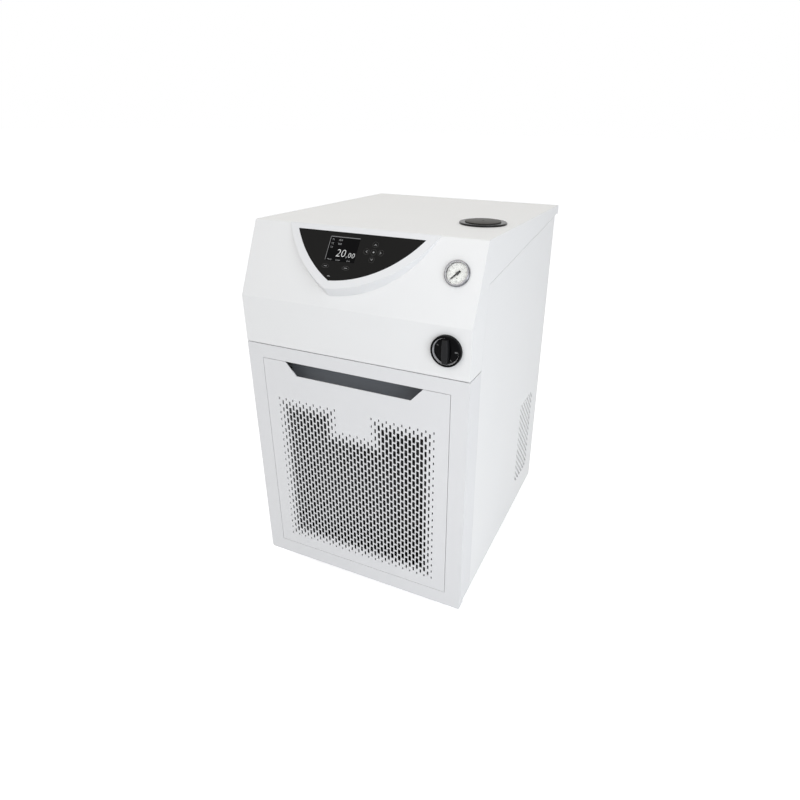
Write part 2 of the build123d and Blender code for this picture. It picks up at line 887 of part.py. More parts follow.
def make_fork(x, y, braked):
    """Swivelling fork with its stem, top plate, two cheeks and riveted axle."""
    axle_y = y + wheel_trail
    rear_edge = axle_y + wheel_radius / 2
    if braked:
        rear_edge = axle_y + lever_behind + lever_hub_radius
    top_low = fork_upper - fork_top
    fork = rod((x, y, top_low), (0, 0, 1), race_radius, fork_top)
    fork += block((x - cheek_outer, x + cheek_outer), (y, rear_edge), (top_low, fork_upper))
    fork += rod((x, y, top_low), (0, 0, 1), stem_radius, fork_top + swivel_gap + race_height)
    outline = [
        (y - race_radius / 2, fork_upper - fork_top / 2),
        (axle_y - axle_radius * 2, wheel_radius - axle_radius * 2),
        (axle_y + axle_radius * 2, wheel_radius - axle_radius * 2),
        (rear_edge, top_low - lever_hub_radius * 2.2),
        (rear_edge, fork_upper - fork_top / 2),
    ]
    cheek = side_face(outline)
    for side in (-1, 1):
        fork += side_plate(cheek, x + side * cheek_inner, x + side * cheek_outer)
    if braked:
        fork -= rod((x - cheek_outer, axle_y + lever_behind, wheel_radius + lever_above), (1, 0, 0),
                    lever_pin_radius + running_fit, 2 * cheek_outer)
    fork += rod((x - cheek_outer - axle_head, axle_y, wheel_radius), (1, 0, 0), axle_radius,
                2 * (cheek_outer + axle_head))
    return fork


def make_wheel(x, y):
    """Castor wheel: chamfered tread, dished sides and a bore on the axle."""
    half = wheel_width / 2
    profile = Polyline(
        (axle_radius + running_fit, -half),
        (wheel_hub_radius, -half),
        (wheel_web_radius, -half + wheel_dish),
        (wheel_rim_radius, -half + wheel_shoulder),
        (wheel_radius - wheel_tread_round, -half),
        (wheel_radius, -half + wheel_tread_round),
        (wheel_radius, half - wheel_tread_round),
        (wheel_radius - wheel_tread_round, half),
        (wheel_rim_radius, half - wheel_shoulder),
        (wheel_web_radius, half - wheel_dish),
        (wheel_hub_radius, half),
        (axle_radius + running_fit, half),
        close=True,
    )
    wheel = revolve(make_face(profile), Axis.Y)
    return Pos(x, y + wheel_trail, wheel_radius) * Rot(0, 0, 90) * wheel


def make_brake_lever(x, y):
    """Brake lever: a hub between the cheeks with a cam lobe and a pedal."""
    pivot_y = y + wheel_trail + lever_behind
    pivot_z = wheel_radius + lever_above
    hub_half = cheek_inner - wheel_side_gap / 2
    lever = rod((x - hub_half, pivot_y, pivot_z), (1, 0, 0), lever_hub_radius, 2 * hub_half)
    lever += rod((x - cheek_outer, pivot_y, pivot_z), (1, 0, 0), lever_pin_radius, 2 * cheek_outer)
    lobe_reach = hypot(lever_behind, lever_above) - wheel_radius - brake_gap
    towards_wheel = degrees(atan2(-lever_above, -lever_behind))
    lobe_angle = radians(towards_wheel + brake_angle)
    lobe_y = pivot_y + (lobe_reach - brake_lobe) * cos(lobe_angle)
    lobe_z = pivot_z + (lobe_reach - brake_lobe) * sin(lobe_angle)
    lever += rod((x - hub_half, lobe_y, lobe_z), (1, 0, 0), brake_lobe, 2 * hub_half)
    pedal = side_face([
        (pivot_y, pivot_z - lever_hub_radius / 2),
        (pivot_y + lever_pedal, pivot_z - lever_hub_radius / 4),
        (pivot_y + lever_pedal, pivot_z + lever_hub_radius / 3),
        (pivot_y, pivot_z + lever_hub_radius / 2),
    ])
    lever += side_plate(pedal, x - hub_half, x + hub_half)
    return lever


def make_condenser():
    """Fin pack with upright grooves between two end plates that stand in the pan."""
    half = condenser_width / 2
    front = front_y + condenser_front
    rear = front_y + condenser_rear
    comb = [(-half, rear), (half, rear), (half, front)]
    count = int(condenser_width / fin_pitch)
    for i in range(1, count):
        groove = half - i * fin_pitch + fin_groove / 2
        comb += [
            (groove, front),
            (groove, front + fin_groove_depth),
            (groove - fin_groove, front + fin_groove_depth),
            (groove - fin_groove, front),
        ]
    comb.append((-half, front))
    pack = extrude(Pos(0, 0, condenser_low + end_plate) * make_face(Polyline(*comb, close=True)),
                   amount=condenser_height)
    for side in (-1, 1):
        ends = tuple(sorted((side * half, side * (half + end_plate))))
        pack += block(ends, (front - end_plate_proud, rear + shroud_gap), (condenser_low, condenser_high))
    return pack


def make_headers():
    """Upright header tubes outside the two end plates, each with a stub to the rear."""
    headers = []
    for side, stub_z in ((-1, discharge_z), (1, liquid_z)):
        header = rod((side * header_x, header_y, condenser_low), (0, 0, 1), header_radius,
                     condenser_height)
        header += rod((side * header_x, header_y, stub_z), (0, 1, 0), pipe_radius, 2 * header_radius)
        headers.append(header)
    return Compound(headers)


def make_fan_shroud():
    """Plate behind the condenser with a round opening and a collar."""
    half = condenser_width / 2 + end_plate
    orifice = fan_radius + fan_gap
    plate = block((-half, half), (shroud_y, shroud_y + end_plate), (condenser_low, condenser_high))
    plate += rod((0, shroud_y, fan_z), (0, 1, 0), orifice + end_plate, shroud_collar)
    plate -= rod((0, shroud_y - 1, fan_z), (0, 1, 0), orifice, shroud_collar + 2)
    return plate


def make_fan_bracket():
    """Four posts and arms that carry the motor's ring behind the fan."""
    ring = motor_radius + running_fit
    bracket = rod((0, bracket_y, fan_z), (0, 1, 0), ring + bracket_ring, bracket_sheet)
    for angle in (45, 135, 225, 315):
        dx = cos(radians(angle))
        dz = sin(radians(angle))
        arm = Box(bracket_reach - ring, bracket_sheet, bracket_arm)
        bracket += Pos(0, bracket_y + bracket_sheet / 2, fan_z) * Rot(0, -angle, 0) \
            * Pos((bracket_reach + ring) / 2, 0, 0) * arm
        bracket += rod((bracket_reach * dx, bracket_y - bracket_depth, fan_z + bracket_reach * dz),
                       (0, 1, 0), bracket_post, bracket_depth + bracket_sheet)
    return bracket - rod((0, bracket_y - 1, fan_z), (0, 1, 0), ring, bracket_sheet + 2)


def make_fan_motor():
    """Motor can with a flange on the ring and its shaft to the front."""
    motor = rod((0, bracket_y - motor_nose, fan_z), (0, 1, 0), motor_radius, motor_depth + motor_nose)
    motor += rod((0, bracket_y + bracket_sheet, fan_z), (0, 1, 0), motor_radius + motor_flange, bracket_sheet)
    shaft_start = front_y + fan_start
    motor += rod((0, shaft_start, fan_z), (0, 1, 0), motor_shaft, bracket_y - shaft_start)
    return motor


def make_fan_rotor():
    """Hub with a bore on the motor's shaft and twisted blades."""
    start = front_y + fan_start
    hub = rod((0, start, fan_z), (0, 1, 0), fan_hub_radius, fan_hub_depth)
    middle = start + fan_hub_depth / 2
    for i in range(fan_blades):
        spin = Rot(0, 360 * i / fan_blades, 0)
        place = Pos(0, middle, fan_z) * spin
        root = Pos(0, 0, fan_hub_radius - blade_sunk) * Rot(0, 0, blade_root_angle) \
            * Rectangle(blade_root, blade_root_thickness)
        tip = Pos(0, 0, fan_radius) * Rot(0, 0, blade_tip_angle) * Rectangle(blade_tip, blade_tip_thickness)
        hub += place * loft([root, tip])
    return hub - rod((0, start - 1, fan_z), (0, 1, 0), motor_shaft + running_fit, fan_hub_depth + 2)


def make_compressor():
    """Hermetic pot: two pressed shells joined at a belt, on a foot plate, with two stubs."""
    r = compressor_radius
    h = compressor_height
    profile = make_face(
        Polyline(
            (0, shell_step),
            (r - pot_dome, shell_step),
            (r, pot_dome),
            (r, pot_belt),
            (r + belt_reach, pot_belt),
            (r + belt_reach, pot_belt + belt_width),
            (r - shell_step, pot_belt + belt_width),
            (r - shell_step, h - pot_dome),
            (r - pot_dome, h - 2 * shell_step),
            (0, h),
            close=True,
        )
    )
    shell = revolve(Plane.XZ * profile, Axis.Z)
    foot = block((-compressor_foot, compressor_foot), (-compressor_foot, compressor_foot), (0, foot_sheet))
    foot = chamfer(foot.edges().filter_by(Axis.Z), foot_corner)
    pot = Pos(compressor_x, compressor_y, compressor_low) * (shell + foot)
    for x in stub_places():
        pot += rod((x, compressor_y, compressor_low + h - stub_sunk), (0, 0, 1), pipe_radius,
                   stub_height + stub_sunk)
    for x, y in grommet_places():
        pot -= rod((x, y, compressor_low - 1), (0, 0, 1), grommet_peg + peg_clearance, foot_sheet + 3)
    return pot


def stub_places():
    """Discharge and suction stubs on top of the pot."""
    return [compressor_x - stub_spread, compressor_x + stub_spread]


def grommet_places():
    """Foot plate corners, inside the chamfers."""
    reach = compressor_foot - foot_hole_inset
    return [(compressor_x + sx * reach, compressor_y + sy * reach) for sx in (-1, 1) for sy in (-1, 1)]


def make_grommets():
    """Rubber mounts under the foot plate, each with a peg through it."""
    mounts = []
    for x, y in grommet_places():
        mount = rod((x, y, pan_top), (0, 0, 1), grommet_radius, grommet_height)
        mount += rod((x, y, pan_top), (0, 0, 1), grommet_peg, grommet_height + peg_proud)
        mounts.append(mount)
    return Compound(mounts)


def make_drier():
    """Spun copper filter drier lying in line with the right header's stub, on a clamp."""
    shoulder = drier_neck + drier_cone
    profile = make_face(
        Polyline(
            (0, 0),
            (pipe_radius, 0),
            (pipe_radius, drier_neck),
            (drier_radius, shoulder),
            (drier_radius, drier_length - shoulder),
            (pipe_radius, drier_length - drier_neck),
            (pipe_radius, drier_length),
            (0, drier_length),
            close=True,
        )
    )
    drier = Pos(header_x, drier_y, liquid_z) * revolve(profile, Axis.Y)
    middle = drier_y + drier_length / 2
    clamp_half = drier_clamp_width / 2
    drier += block((header_x - clamp_half, header_x + clamp_half),
                   (middle - drier_clamp_depth / 2, middle + drier_clamp_depth / 2), (pan_top, liquid_z))
    return drier


def make_tank():
    """Deep-drawn bath vessel with rounded upright corners, open at the top."""
    width = tank_right - tank_left
    depth = tank_rear - tank_front
    outer = RectangleRounded(width, depth, tank_corner)
    inner = RectangleRounded(width - 2 * tank_wall, depth - 2 * tank_wall, tank_corner - tank_wall)
    place = Pos(tank_x, tank_y, tank_bottom)
    tank = extrude(outer, amount=tank_height)
    tank -= extrude(Pos(0, 0, tank_wall) * inner, amount=tank_height)
    tank = place * tank
    tank -= rod((overflow_x, front_y + tank_rear - 2 * tank_wall, tank_top - overflow_drop), (0, 1, 0),
                overflow_radius + running_fit, 4 * tank_wall)
    return tank


def make_tank_lid():
    """Lid plate with the opening for the filler."""
    width = tank_right - tank_left + 2 * lid_overhang
    depth = tank_rear - tank_front + 2 * lid_overhang
    lid = extrude(RectangleRounded(width, depth, tank_corner + lid_overhang), amount=lid_thickness)
    lid = Pos(tank_x, tank_y, tank_top) * lid
    lid -= rod((filler_x, front_y + filler_depth, tank_top - 1), (0, 0, 1), filler_radius + panel_gap,
               lid_thickness + 2)
    return lid


def make_evaporator():
    """Brazed plate evaporator: grooved stack on the shelf, with a stub into the tank."""
    left = evaporator_right - evaporator_width
    front = front_y + evaporator_front
    rear = front_y + evaporator_rear
    stack = block((left, evaporator_right), (front, rear), (shelf_top, shelf_top + evaporator_height))
    pitch = evaporator_width / evaporator_plates
    for i in range(evaporator_plates):
        x = left + (i + 0.5) * pitch
        groove = (x - evaporator_groove / 2, x + evaporator_groove / 2)
        stack -= block(groove, (front - 1, front + evaporator_groove_depth),
                       (shelf_top - 1, shelf_top + evaporator_height + 1))
        stack -= block(groove, (rear - evaporator_groove_depth, rear + 1),
                       (shelf_top - 1, shelf_top + evaporator_height + 1))
    stack += rod((evaporator_right, evaporator_mid_y, shelf_top + evaporator_outlet), (1, 0, 0),
                 evaporator_stub, tank_left - evaporator_right)
    for x, radius in ((suction_port_x, pipe_radius), (capillary_port_x, capillary_radius)):
        stack += rod((x, compressor_y, shelf_top - evaporator_stub), (0, 0, 1), radius, evaporator_stub)
    return stack


def make_filler_neck():
    """Round flange on the hood with a tube down into the tank."""
    bottom = tank_top - fold_width
    flange_top = top_z + filler_flange
    neck = rod((filler_x, filler_y, bottom), (0, 0, 1), filler_radius, flange_top - bottom)
    neck += rod((filler_x, filler_y, top_z), (0, 0, 1), filler_flange_radius, filler_flange)
    neck = chamfer(neck.edges().sort_by(Axis.Z)[-1:], filler_flange / 4)
    return neck - rod((filler_x, filler_y, bottom - 1), (0, 0, 1), filler_radius - filler_wall,
                      flange_top - bottom + 2)


def make_filler_cap():
    """Cap with a hollow plug into the neck, a rounded rim and a centre dimple."""
    plug_radius = filler_radius - filler_wall - cap_gap
    disc = rod((filler_x, filler_y, cap_low), (0, 0, 1), cap_radius, cap_thickness)
    disc = fillet(disc.edges().filter_by(GeomType.CIRCLE).sort_by(Axis.Z)[-1], cap_thickness / 3)
    plug_low = top_z + filler_flange - cap_plug
    cap = disc + rod((filler_x, filler_y, plug_low), (0, 0, 1), plug_radius, cap_low - plug_low)
    cap -= rod((filler_x, filler_y, plug_low), (0, 0, 1), plug_radius - filler_wall, cap_plug)
    return cap - rod((filler_x, filler_y, cap_low + cap_thickness - cap_dimple), (0, 0, 1),
                     cap_dimple_radius, 2 * cap_dimple)


def make_cap_seal():
    """Flat rubber ring under the cap's rim."""
    inner = filler_radius - filler_wall
    return rod((filler_x, filler_y, cap_low - seal_thickness), (0, 0, 1), cap_radius - seal_inset,
               seal_thickness, inner)


def make_pump_motor():
    """Ribbed motor can lying on the shelf, with its foot."""
    motor = rod((pump_x, pump_y, pump_z), (0, 1, 0), pump_motor_radius, pump_motor_length)
    for i in range(pump_ribs):
        y = pump_y + pump_rib_start + i * pump_rib_pitch
        motor += rod((pump_x, y, pump_z), (0, 1, 0), pump_motor_radius + pump_rib, pump_rib)
    foot = block((pump_x - pump_foot / 2, pump_x + pump_foot / 2),
                 (pump_y + pump_foot_inset, pump_y + pump_motor_length - pump_foot_inset),
                 (shelf_top, pump_z - pump_motor_radius + pump_foot_lap))
    return motor + foot


def make_pump_head():
    """Volute with an inlet stub on its axis and an outlet stub upwards."""
    start = pump_y + pump_motor_length
    head = rod((pump_x, start, pump_z), (0, 1, 0), pump_head_radius, pump_head_depth)
    head = chamfer(head.edges().filter_by(GeomType.CIRCLE), pump_head_corner)
    head += rod((pump_x, pump_rear, pump_z), (0, 1, 0), hose_radius, pump_inlet)
    head += rod((pump_x, start + pump_head_depth / 2, pump_z), (0, 0, 1), hose_radius,
                pump_head_radius + pump_outlet)
    return head


def make_hoses():
    """Pump inlet, outflow, return and drain hoses, each from face to face."""
    neck_y = rear_inner - fold_width
    turn_y = front_y + evaporator_rear + hose_inset
    inlet = pipe([(pump_x, pump_rear + pump_inlet, pump_z), (pump_x, turn_y, pump_z),
                  (tank_left, turn_y, pump_z)], hose_radius, hose_bend)
    outlet_y = pump_y + pump_motor_length + pump_head_depth / 2
    outflow = pipe([(pump_x, outlet_y, pump_z + pump_head_radius + pump_outlet), (pump_x, outlet_y, port_z),
                    (pump_x, neck_y, port_z)], hose_radius, hose_bend)
    return_x = port_x + port_spacing
    back = pipe([(return_x, neck_y, port_z), (return_x, evaporator_mid_y, port_z),
                 (return_x, evaporator_mid_y, shelf_top + evaporator_height)], hose_radius, hose_bend)
    drain_top_y = front_y + tank_rear - hose_inset
    drain = pipe([(drain_x, drain_top_y, tank_bottom), (drain_x, drain_top_y, drain_z),
                  (drain_x, neck_y, drain_z)], drain_hose_radius, hose_bend)
    return Compound([inlet, outflow, back, drain])


def make_shelf():
    """Shelf between the side panels, with a front wall and openings for pipes."""
    half = pan_half
    front = front_y + shelf_front
    rear = front_y + tank_rear + fold_width
    low = shelf_top - sheet
    shelf = block((-half, half), (front, rear), (low, shelf_top))
    shelf += block((-half, half), (front, front + sheet), (low, shelf_top + shelf_wall))
    for side in (-1, 1):
        wall = tuple(sorted((side * half, side * (half - sheet))))
        shelf += block(wall, (front, rear), (low - fold_width, shelf_top))
    openings = (
        (drain_x, front_y + tank_rear - hose_inset, drain_hose_radius),
        (suction_port_x, compressor_y, pipe_radius),
        (capillary_port_x, compressor_y, capillary_radius),
    )
    for x, y, radius in openings:
        shelf -= rod((x, y, low - 1), (0, 0, 1), radius + panel_gap, 2 * sheet)
    return shelf


def make_overflow():
    """Straight overflow spout from the tank through the rear panel."""
    start = front_y + tank_rear - tank_wall
    return rod((overflow_x, start, tank_top - overflow_drop), (0, 1, 0), overflow_radius,
               rear_y + overflow_reach - start, overflow_radius - overflow_wall)


def make_drain_valve():
    """Drain cock: a square body with a neck through the panel and a barbed spout."""
    half = drain_body / 2
    spout_start = rear_y + drain_body_depth
    spout_end = rear_y + drain_reach
    valve = rod((drain_x, rear_inner - fold_width, drain_z), (0, 1, 0), drain_radius, fold_width + sheet)
    valve += block((drain_x - half, drain_x + half), (rear_y, spout_start), (drain_z - half, drain_z + half))
    valve += rod((drain_x, spout_start, drain_z), (0, 1, 0), spout_radius, spout_end - spout_start)
    valve += rod((drain_x, spout_end - barb_place, drain_z), (0, 1, 0), barb_radius, barb_width)
    valve -= rod((drain_x, spout_end - spout_bore_depth, drain_z), (0, 1, 0), spout_bore, 2 * spout_bore_depth)
    valve -= rod((drain_x, lever_y, drain_z + half - spindle_depth), (0, 0, 1), spindle_radius + running_fit,
                 2 * spindle_depth)
    return valve


def make_drain_lever():
    """Quarter-turn lever with its spindle."""
    low = drain_z + drain_body / 2 + lever_gap
    spindle_low = drain_z + drain_body / 2 - spindle_depth + spindle_gap
    lever = rod((drain_x, lever_y, spindle_low), (0, 0, 1), spindle_radius,
                low + lever_thickness + spindle_proud - spindle_low)
    lever += rod((drain_x, lever_y, low), (0, 0, 1), lever_hub, lever_thickness)
    bar = Pos(drain_x + lever_length / 2, lever_y, low) * SlotOverall(lever_length + lever_width, lever_width)
    lever += extrude(bar, amount=lever_thickness)
    return lever


# The shield's face is tilted against the slope about the slope's top edge
shield_out = slope_out.rotate(Axis.X, -shield_tilt)
shield_plane = Plane(origin=slope_origin + slope_out * shield_rise, x_dir=(1, 0, 0), z_dir=shield_out)


def foil_face():
    """Outline of the key foil: a straight top and two bowed sides down to the tip."""
    left, right, tip = [(x, -down) for x, down in (foil_left, foil_right, foil_tip)]
    left_middle, right_middle = [(x, -down) for x, down in (foil_left_middle, foil_right_middle)]
    outline = Line(left, right) + ThreePointArc(right, right_middle, tip) + ThreePointArc(tip, left_middle, left)
    return make_face(outline)


def display_face(clearance=0.0):
    """Outline of the display window in the foil."""
    place = Pos(display_left + display_width / 2, -(display_top + display_tall / 2))
    return place * Rectangle(display_width + 2 * clearance, display_tall + 2 * clearance)


def below_edge(depth):
    """The part of the slope below its top edge, as a block that stands out of it."""
    return slope_plane * Pos(0, -depth / 2, depth / 2) * Box(housing_width, depth, depth)


def make_control_bezel():
    """Raised shield with drafted walls, hollow behind, with a recess for the foil."""
    rim = offset(foil_face(), shield_border, kind=Kind.INTERSECTION)
    rim = fillet(nearest(rim.vertices(), foil_tip[0], -foil_tip[1] - shield_border), shield_tip_round)
    skin = extrude(shield_plane * rim, amount=-shield_reach, taper=-shield_draft)
    cavity_rim = offset(rim, -shield_wall, kind=Kind.INTERSECTION)
    cavity = extrude(shield_plane.offset(-shield_wall) * cavity_rim, amount=-shield_reach, taper=-shield_draft)
    recess = extrude(shield_plane * foil_face(), amount=-foil_recess)
    window = extrude(shield_plane * display_face(), amount=-shield_reach)
    return (skin - cavity - recess - window) & below_edge(slope_run)


def make_key_foil():
    """Membrane with the keys, seated in the bezel's recess, with a display window."""
    foil = offset(foil_face(), -running_fit * 2, kind=Kind.INTERSECTION) - display_face(running_fit)
    return extrude(shield_plane.offset(-foil_recess) * foil, amount=foil_thickness)


def make_display():
    """Display block behind its window, flush with the foil."""
    return extrude(shield_plane.offset(-foil_recess + foil_thickness) * display_face(-2 * running_fit),
                   amount=-display_depth)


def make_control_board():
    """Board parallel to the slope, on posts that reach the hood's inner face."""
    middle = Pos(0, -board_inset - board_tall / 2)
    plane = slope_plane.offset(-sheet - board_gap)
    board = extrude(plane * middle * Rectangle(board_width, board_tall), amount=-board_thickness)
    post_x = board_width / 2 - board_post_inset
    for x in (-post_x, post_x):
        for y in (-board_inset - board_post_inset, -board_inset - board_tall + board_post_inset):
            board += extrude(plane * Pos(x, y) * Circle(board_post), amount=board_gap)
    return board


gauge_plane = Plane(origin=on_slope(gauge_x, gauge_down), x_dir=(1, 0, 0), z_dir=slope_out)


def ring_on(plane, outer, inner, low, high):
    """A disc or ring between two distances out of a plane."""
    section = Circle(outer)
    if inner:
        section -= Circle(inner)
    return extrude(plane.offset(low) * section, amount=high - low)


def make_gauge_case():
    """Gauge body through the slope with its bezel ring."""
    inside = gauge_radius - gauge_rim
    case = ring_on(gauge_plane, gauge_case_radius, 0, -gauge_case_depth, 0)
    case += ring_on(gauge_plane, gauge_radius, 0, 0, gauge_proud)
    case = chamfer(case.edges().filter_by(GeomType.CIRCLE).sort_by(Axis(gauge_plane.origin, slope_out))[-1],
                   gauge_rim_round)
    case -= ring_on(gauge_plane, inside, 0, -gauge_dial, gauge_proud + 1)
    return case - ring_on(gauge_plane, pointer_pin + running_fit, 0, -gauge_dial - gauge_bore_depth, 0)


def make_gauge_dial():
    """Dial disc on the case's floor."""
    inside = gauge_radius - gauge_rim - 2 * running_fit
    return ring_on(gauge_plane, inside, pointer_pin + running_fit, -gauge_dial, 0)


def make_gauge_glass():
    """Flat glass inside the bezel ring."""
    inside = gauge_radius - gauge_rim - 2 * running_fit
    high = gauge_proud - gauge_glass_sunk
    return ring_on(gauge_plane, inside, 0, high - gauge_glass, high)


def make_gauge_pointer():
    """Tapered pointer with a hub and a pin into the movement."""
    blade = make_face(Polyline((-pointer_tail, -pointer_width), (-pointer_tail, pointer_width),
                               (pointer_length, pointer_width / 4), (pointer_length, -pointer_width / 4),
                               close=True))
    pointer = extrude(gauge_plane.offset(pointer_low) * Rot(0, 0, pointer_rest) * blade,
                      amount=pointer_thickness)
    pointer += ring_on(gauge_plane, pointer_hub, 0, pointer_hub_low, pointer_hub_low + pointer_hub_height)
    return pointer + ring_on(gauge_plane, pointer_pin, 0, -gauge_dial - pointer_pin_depth, pointer_low)


def make_switch_collar():
    """Round collar on the fascia, with a sleeve through it."""
    start = front_y - switch_proud
    collar = rod((switch_x, start, switch_z), (0, 1, 0), switch_radius, switch_proud)
    collar = fillet(collar.edges().filter_by(GeomType.CIRCLE).sort_by(Axis.Y)[0], switch_rim_round)
    collar += rod((switch_x, front_y, switch_z), (0, 1, 0), collar_inner + panel_gap / 2, sheet)
    return collar - rod((switch_x, start - 1, switch_z), (0, 1, 0), collar_inner, switch_proud + sheet + 2)


def make_switch_ring():
    """Bright ring on the collar's inner wall."""
    return rod((switch_x, front_y - switch_proud + switch_ring_back, switch_z), (0, 1, 0), collar_inner,
               switch_proud - switch_ring_back + sheet, ring_inner)


def make_switch_knob():
    """Sunk disc with a barrel-shaped grip bar and its shaft."""
    disc_radius = ring_inner - knob_gap
    face_y = front_y - switch_proud + knob_recess
    knob = rod((switch_x, face_y, switch_z), (0, 1, 0), disc_radius, knob_disc)
    half = knob_bar_width / 2
    end = knob_bar_end / 2
    tip = (disc_radius ** 2 - end ** 2) ** 0.5 - knob_bar_gap
    bar = make_face(
        Polyline((-end, tip), (end, tip)) + ThreePointArc((end, tip), (half, 0), (end, -tip))
        + Polyline((end, -tip), (-end, -tip)) + ThreePointArc((-end, -tip), (-half, 0), (-end, tip))
    )
    bar_plane = Plane(origin=(switch_x, face_y, switch_z), x_dir=(1, 0, 0), z_dir=(0, -1, 0))
    grip = extrude(bar_plane * bar, amount=knob_proud - switch_proud + knob_recess)
    grip = fillet(grip.faces().sort_by(Axis.Y)[0].edges(), knob_bar_round)
    knob += grip
    return knob + rod((switch_x, face_y + knob_disc, switch_z), (0, 1, 0), knob_shaft,
                      knob_shaft_length)


def make_switch_body():
    """Cam switch block behind the fascia, with the bore for the shaft."""
    half = switch_body / 2
    start = front_y + sheet
    body = block((switch_x - half, switch_x + half), (start, start + switch_body_depth),
                 (switch_z - half, switch_z + half))
    body = chamfer(body.edges().filter_by(Axis.Y), switch_body_corner)
    return body - rod((switch_x, start - 1, switch_z), (0, 1, 0), knob_shaft + running_fit,
                      switch_bore_depth + 1)


def make_refrigerant_lines():
    """Discharge, suction and liquid lines, each from face to face."""
    stub_top = compressor_low + compressor_height + stub_height
    discharge_x, suction_x = stub_places()
    header_rear = header_y + 2 * header_radius
    discharge = pipe([(discharge_x, compressor_y, stub_top), (discharge_x, compressor_y, discharge_z),
                      (-header_x, compressor_y, discharge_z), (-header_x, header_rear, discharge_z)],
                     pipe_radius, pipe_bend)
    suction = rod((suction_x, compressor_y, stub_top), (0, 0, 1), pipe_radius,
                  shelf_top - evaporator_stub - stub_top)
    liquid = rod((header_x, header_rear, liquid_z), (0, 1, 0), pipe_radius, drier_y - header_rear)
    return Compound([discharge, suction, liquid])


def make_capillary():
    """Thin tube from the drier up to the evaporator's second port."""
    run = shelf_top - 2 * evaporator_stub - capillary_bend
    port_low = shelf_top - evaporator_stub
    return pipe([(header_x, drier_y + drier_length, liquid_z), (header_x, compressor_y, liquid_z),
                 (header_x, compressor_y, run), (capillary_port_x, compressor_y, run),
                 (capillary_port_x, compressor_y, port_low)], capillary_radius, capillary_bend)


save("hood", make_hood())
save("front_frame", make_front_frame())
save("front_grille", make_front_grille())
save("left_side_panel", drill_screws(make_side_panel(-1)))
save("right_side_panel", drill_screws(make_side_panel(1)))
save("rear_panel", make_rear_panel())
save("housing_screws", make_screws())
save("base_pan", make_base_pan())
save("bath_shelf", make_shelf())

save("castor_plates", make_castor_plates())
for place, (x, y) in castor_places().items():
    save(f"castor_fork_{place}", make_fork(x, y, "front" in place))
    save(f"castor_wheel_{place}", make_wheel(x, y))
    if "front" in place:
        save(f"brake_lever_{place}", make_brake_lever(x, y))

save("condenser", make_condenser())
save("condenser_headers", make_headers())
save("fan_shroud", make_fan_shroud())
save("fan_bracket", make_fan_bracket())
save("fan_motor", make_fan_motor())
save("fan_rotor", make_fan_rotor())
save("compressor", make_compressor())
save("compressor_grommets", make_grommets())
save("filter_drier", make_drier())
save("refrigerant_lines", make_refrigerant_lines())
save("capillary_tube", make_capillary())

save("tank", make_tank())
save("tank_lid", make_tank_lid())
save("plate_evaporator", make_evaporator())
save("filler_neck", make_filler_neck())
save("filler_cap", make_filler_cap())
save("cap_seal", make_cap_seal())
save("pump_motor", make_pump_motor())
save("pump_head", make_pump_head())
save("hoses", make_hoses())
save("port_nozzles", make_ports())
save("overflow_spout", make_overflow())
save("drain_valve", make_drain_valve())
save("drain_lever", make_drain_lever())
save("mains_inlet", make_mains_inlet())
save("socket_plate", make_socket_plate())

save("control_bezel", make_control_bezel())
save("key_foil", make_key_foil())
save("display_pane", make_display())
save("control_board", make_control_board())
save("gauge_case", make_gauge_case())
save("gauge_dial", make_gauge_dial())
save("gauge_glass", make_gauge_glass())
save("gauge_pointer", make_gauge_pointer())
save("switch_collar", make_switch_collar())
save("switch_ring", make_switch_ring())
save("switch_knob", make_switch_knob())
save("switch_body", make_switch_body())
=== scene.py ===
# %% [markdown]
# # A recirculating chiller, dressed for the camera
# The machine is a folded sheet-metal housing on castors with a sloping control face.
# Its solids already exist at their real size. This file gives them finishes, adds the
# fine work that the solids leave out, and sets up the camera and the lamps.
# All lengths are in metres, and +Z is up.

# %% Load the solids
import bpy
import bmesh
from math import acos, cos, degrees, hypot, pi, radians, sin, tau
from mathutils import Matrix, Vector


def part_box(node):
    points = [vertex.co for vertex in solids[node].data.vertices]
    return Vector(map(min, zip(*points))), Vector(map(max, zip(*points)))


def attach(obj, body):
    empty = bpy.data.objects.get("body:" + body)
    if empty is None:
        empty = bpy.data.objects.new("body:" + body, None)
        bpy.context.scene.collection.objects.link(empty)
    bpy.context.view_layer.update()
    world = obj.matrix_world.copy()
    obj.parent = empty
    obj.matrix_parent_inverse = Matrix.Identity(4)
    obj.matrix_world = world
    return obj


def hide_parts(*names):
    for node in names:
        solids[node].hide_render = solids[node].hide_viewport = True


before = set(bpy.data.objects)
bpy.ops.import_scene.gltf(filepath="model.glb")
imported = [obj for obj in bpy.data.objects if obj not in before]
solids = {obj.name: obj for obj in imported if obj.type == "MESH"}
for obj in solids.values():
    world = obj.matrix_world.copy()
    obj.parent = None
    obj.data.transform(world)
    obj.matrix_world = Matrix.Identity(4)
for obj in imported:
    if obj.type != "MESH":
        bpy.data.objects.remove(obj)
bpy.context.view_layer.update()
scene = bpy.context.scene

# %% [markdown]
# ## The camera
# The photograph looks down on the machine from its front right corner. The place, the
# turn and the lens come from matching twelve corners of the housing to the picture.
# The small shift moves the picture's centre off the lens axis, as the photographer's crop did.

# %% Set the camera
camera_place = (0.3896, -0.8380, 0.7165)
camera_turn = (65.38, -0.82, 24.0)
lens, film_width = 25.71, 36.0
picture_shift = (-0.0368, -0.0187)
nearest_seen = 0.01

camera_data = bpy.data.cameras.new("camera")
camera_data.lens = lens
camera_data.sensor_width = film_width
camera_data.shift_x, camera_data.shift_y = picture_shift
camera_data.clip_start = nearest_seen
camera = bpy.data.objects.new("camera", camera_data)
camera.location = camera_place
camera.rotation_euler = [radians(a) for a in camera_turn]
scene.collection.objects.link(camera)
scene.camera = camera
print("camera at", camera_place)

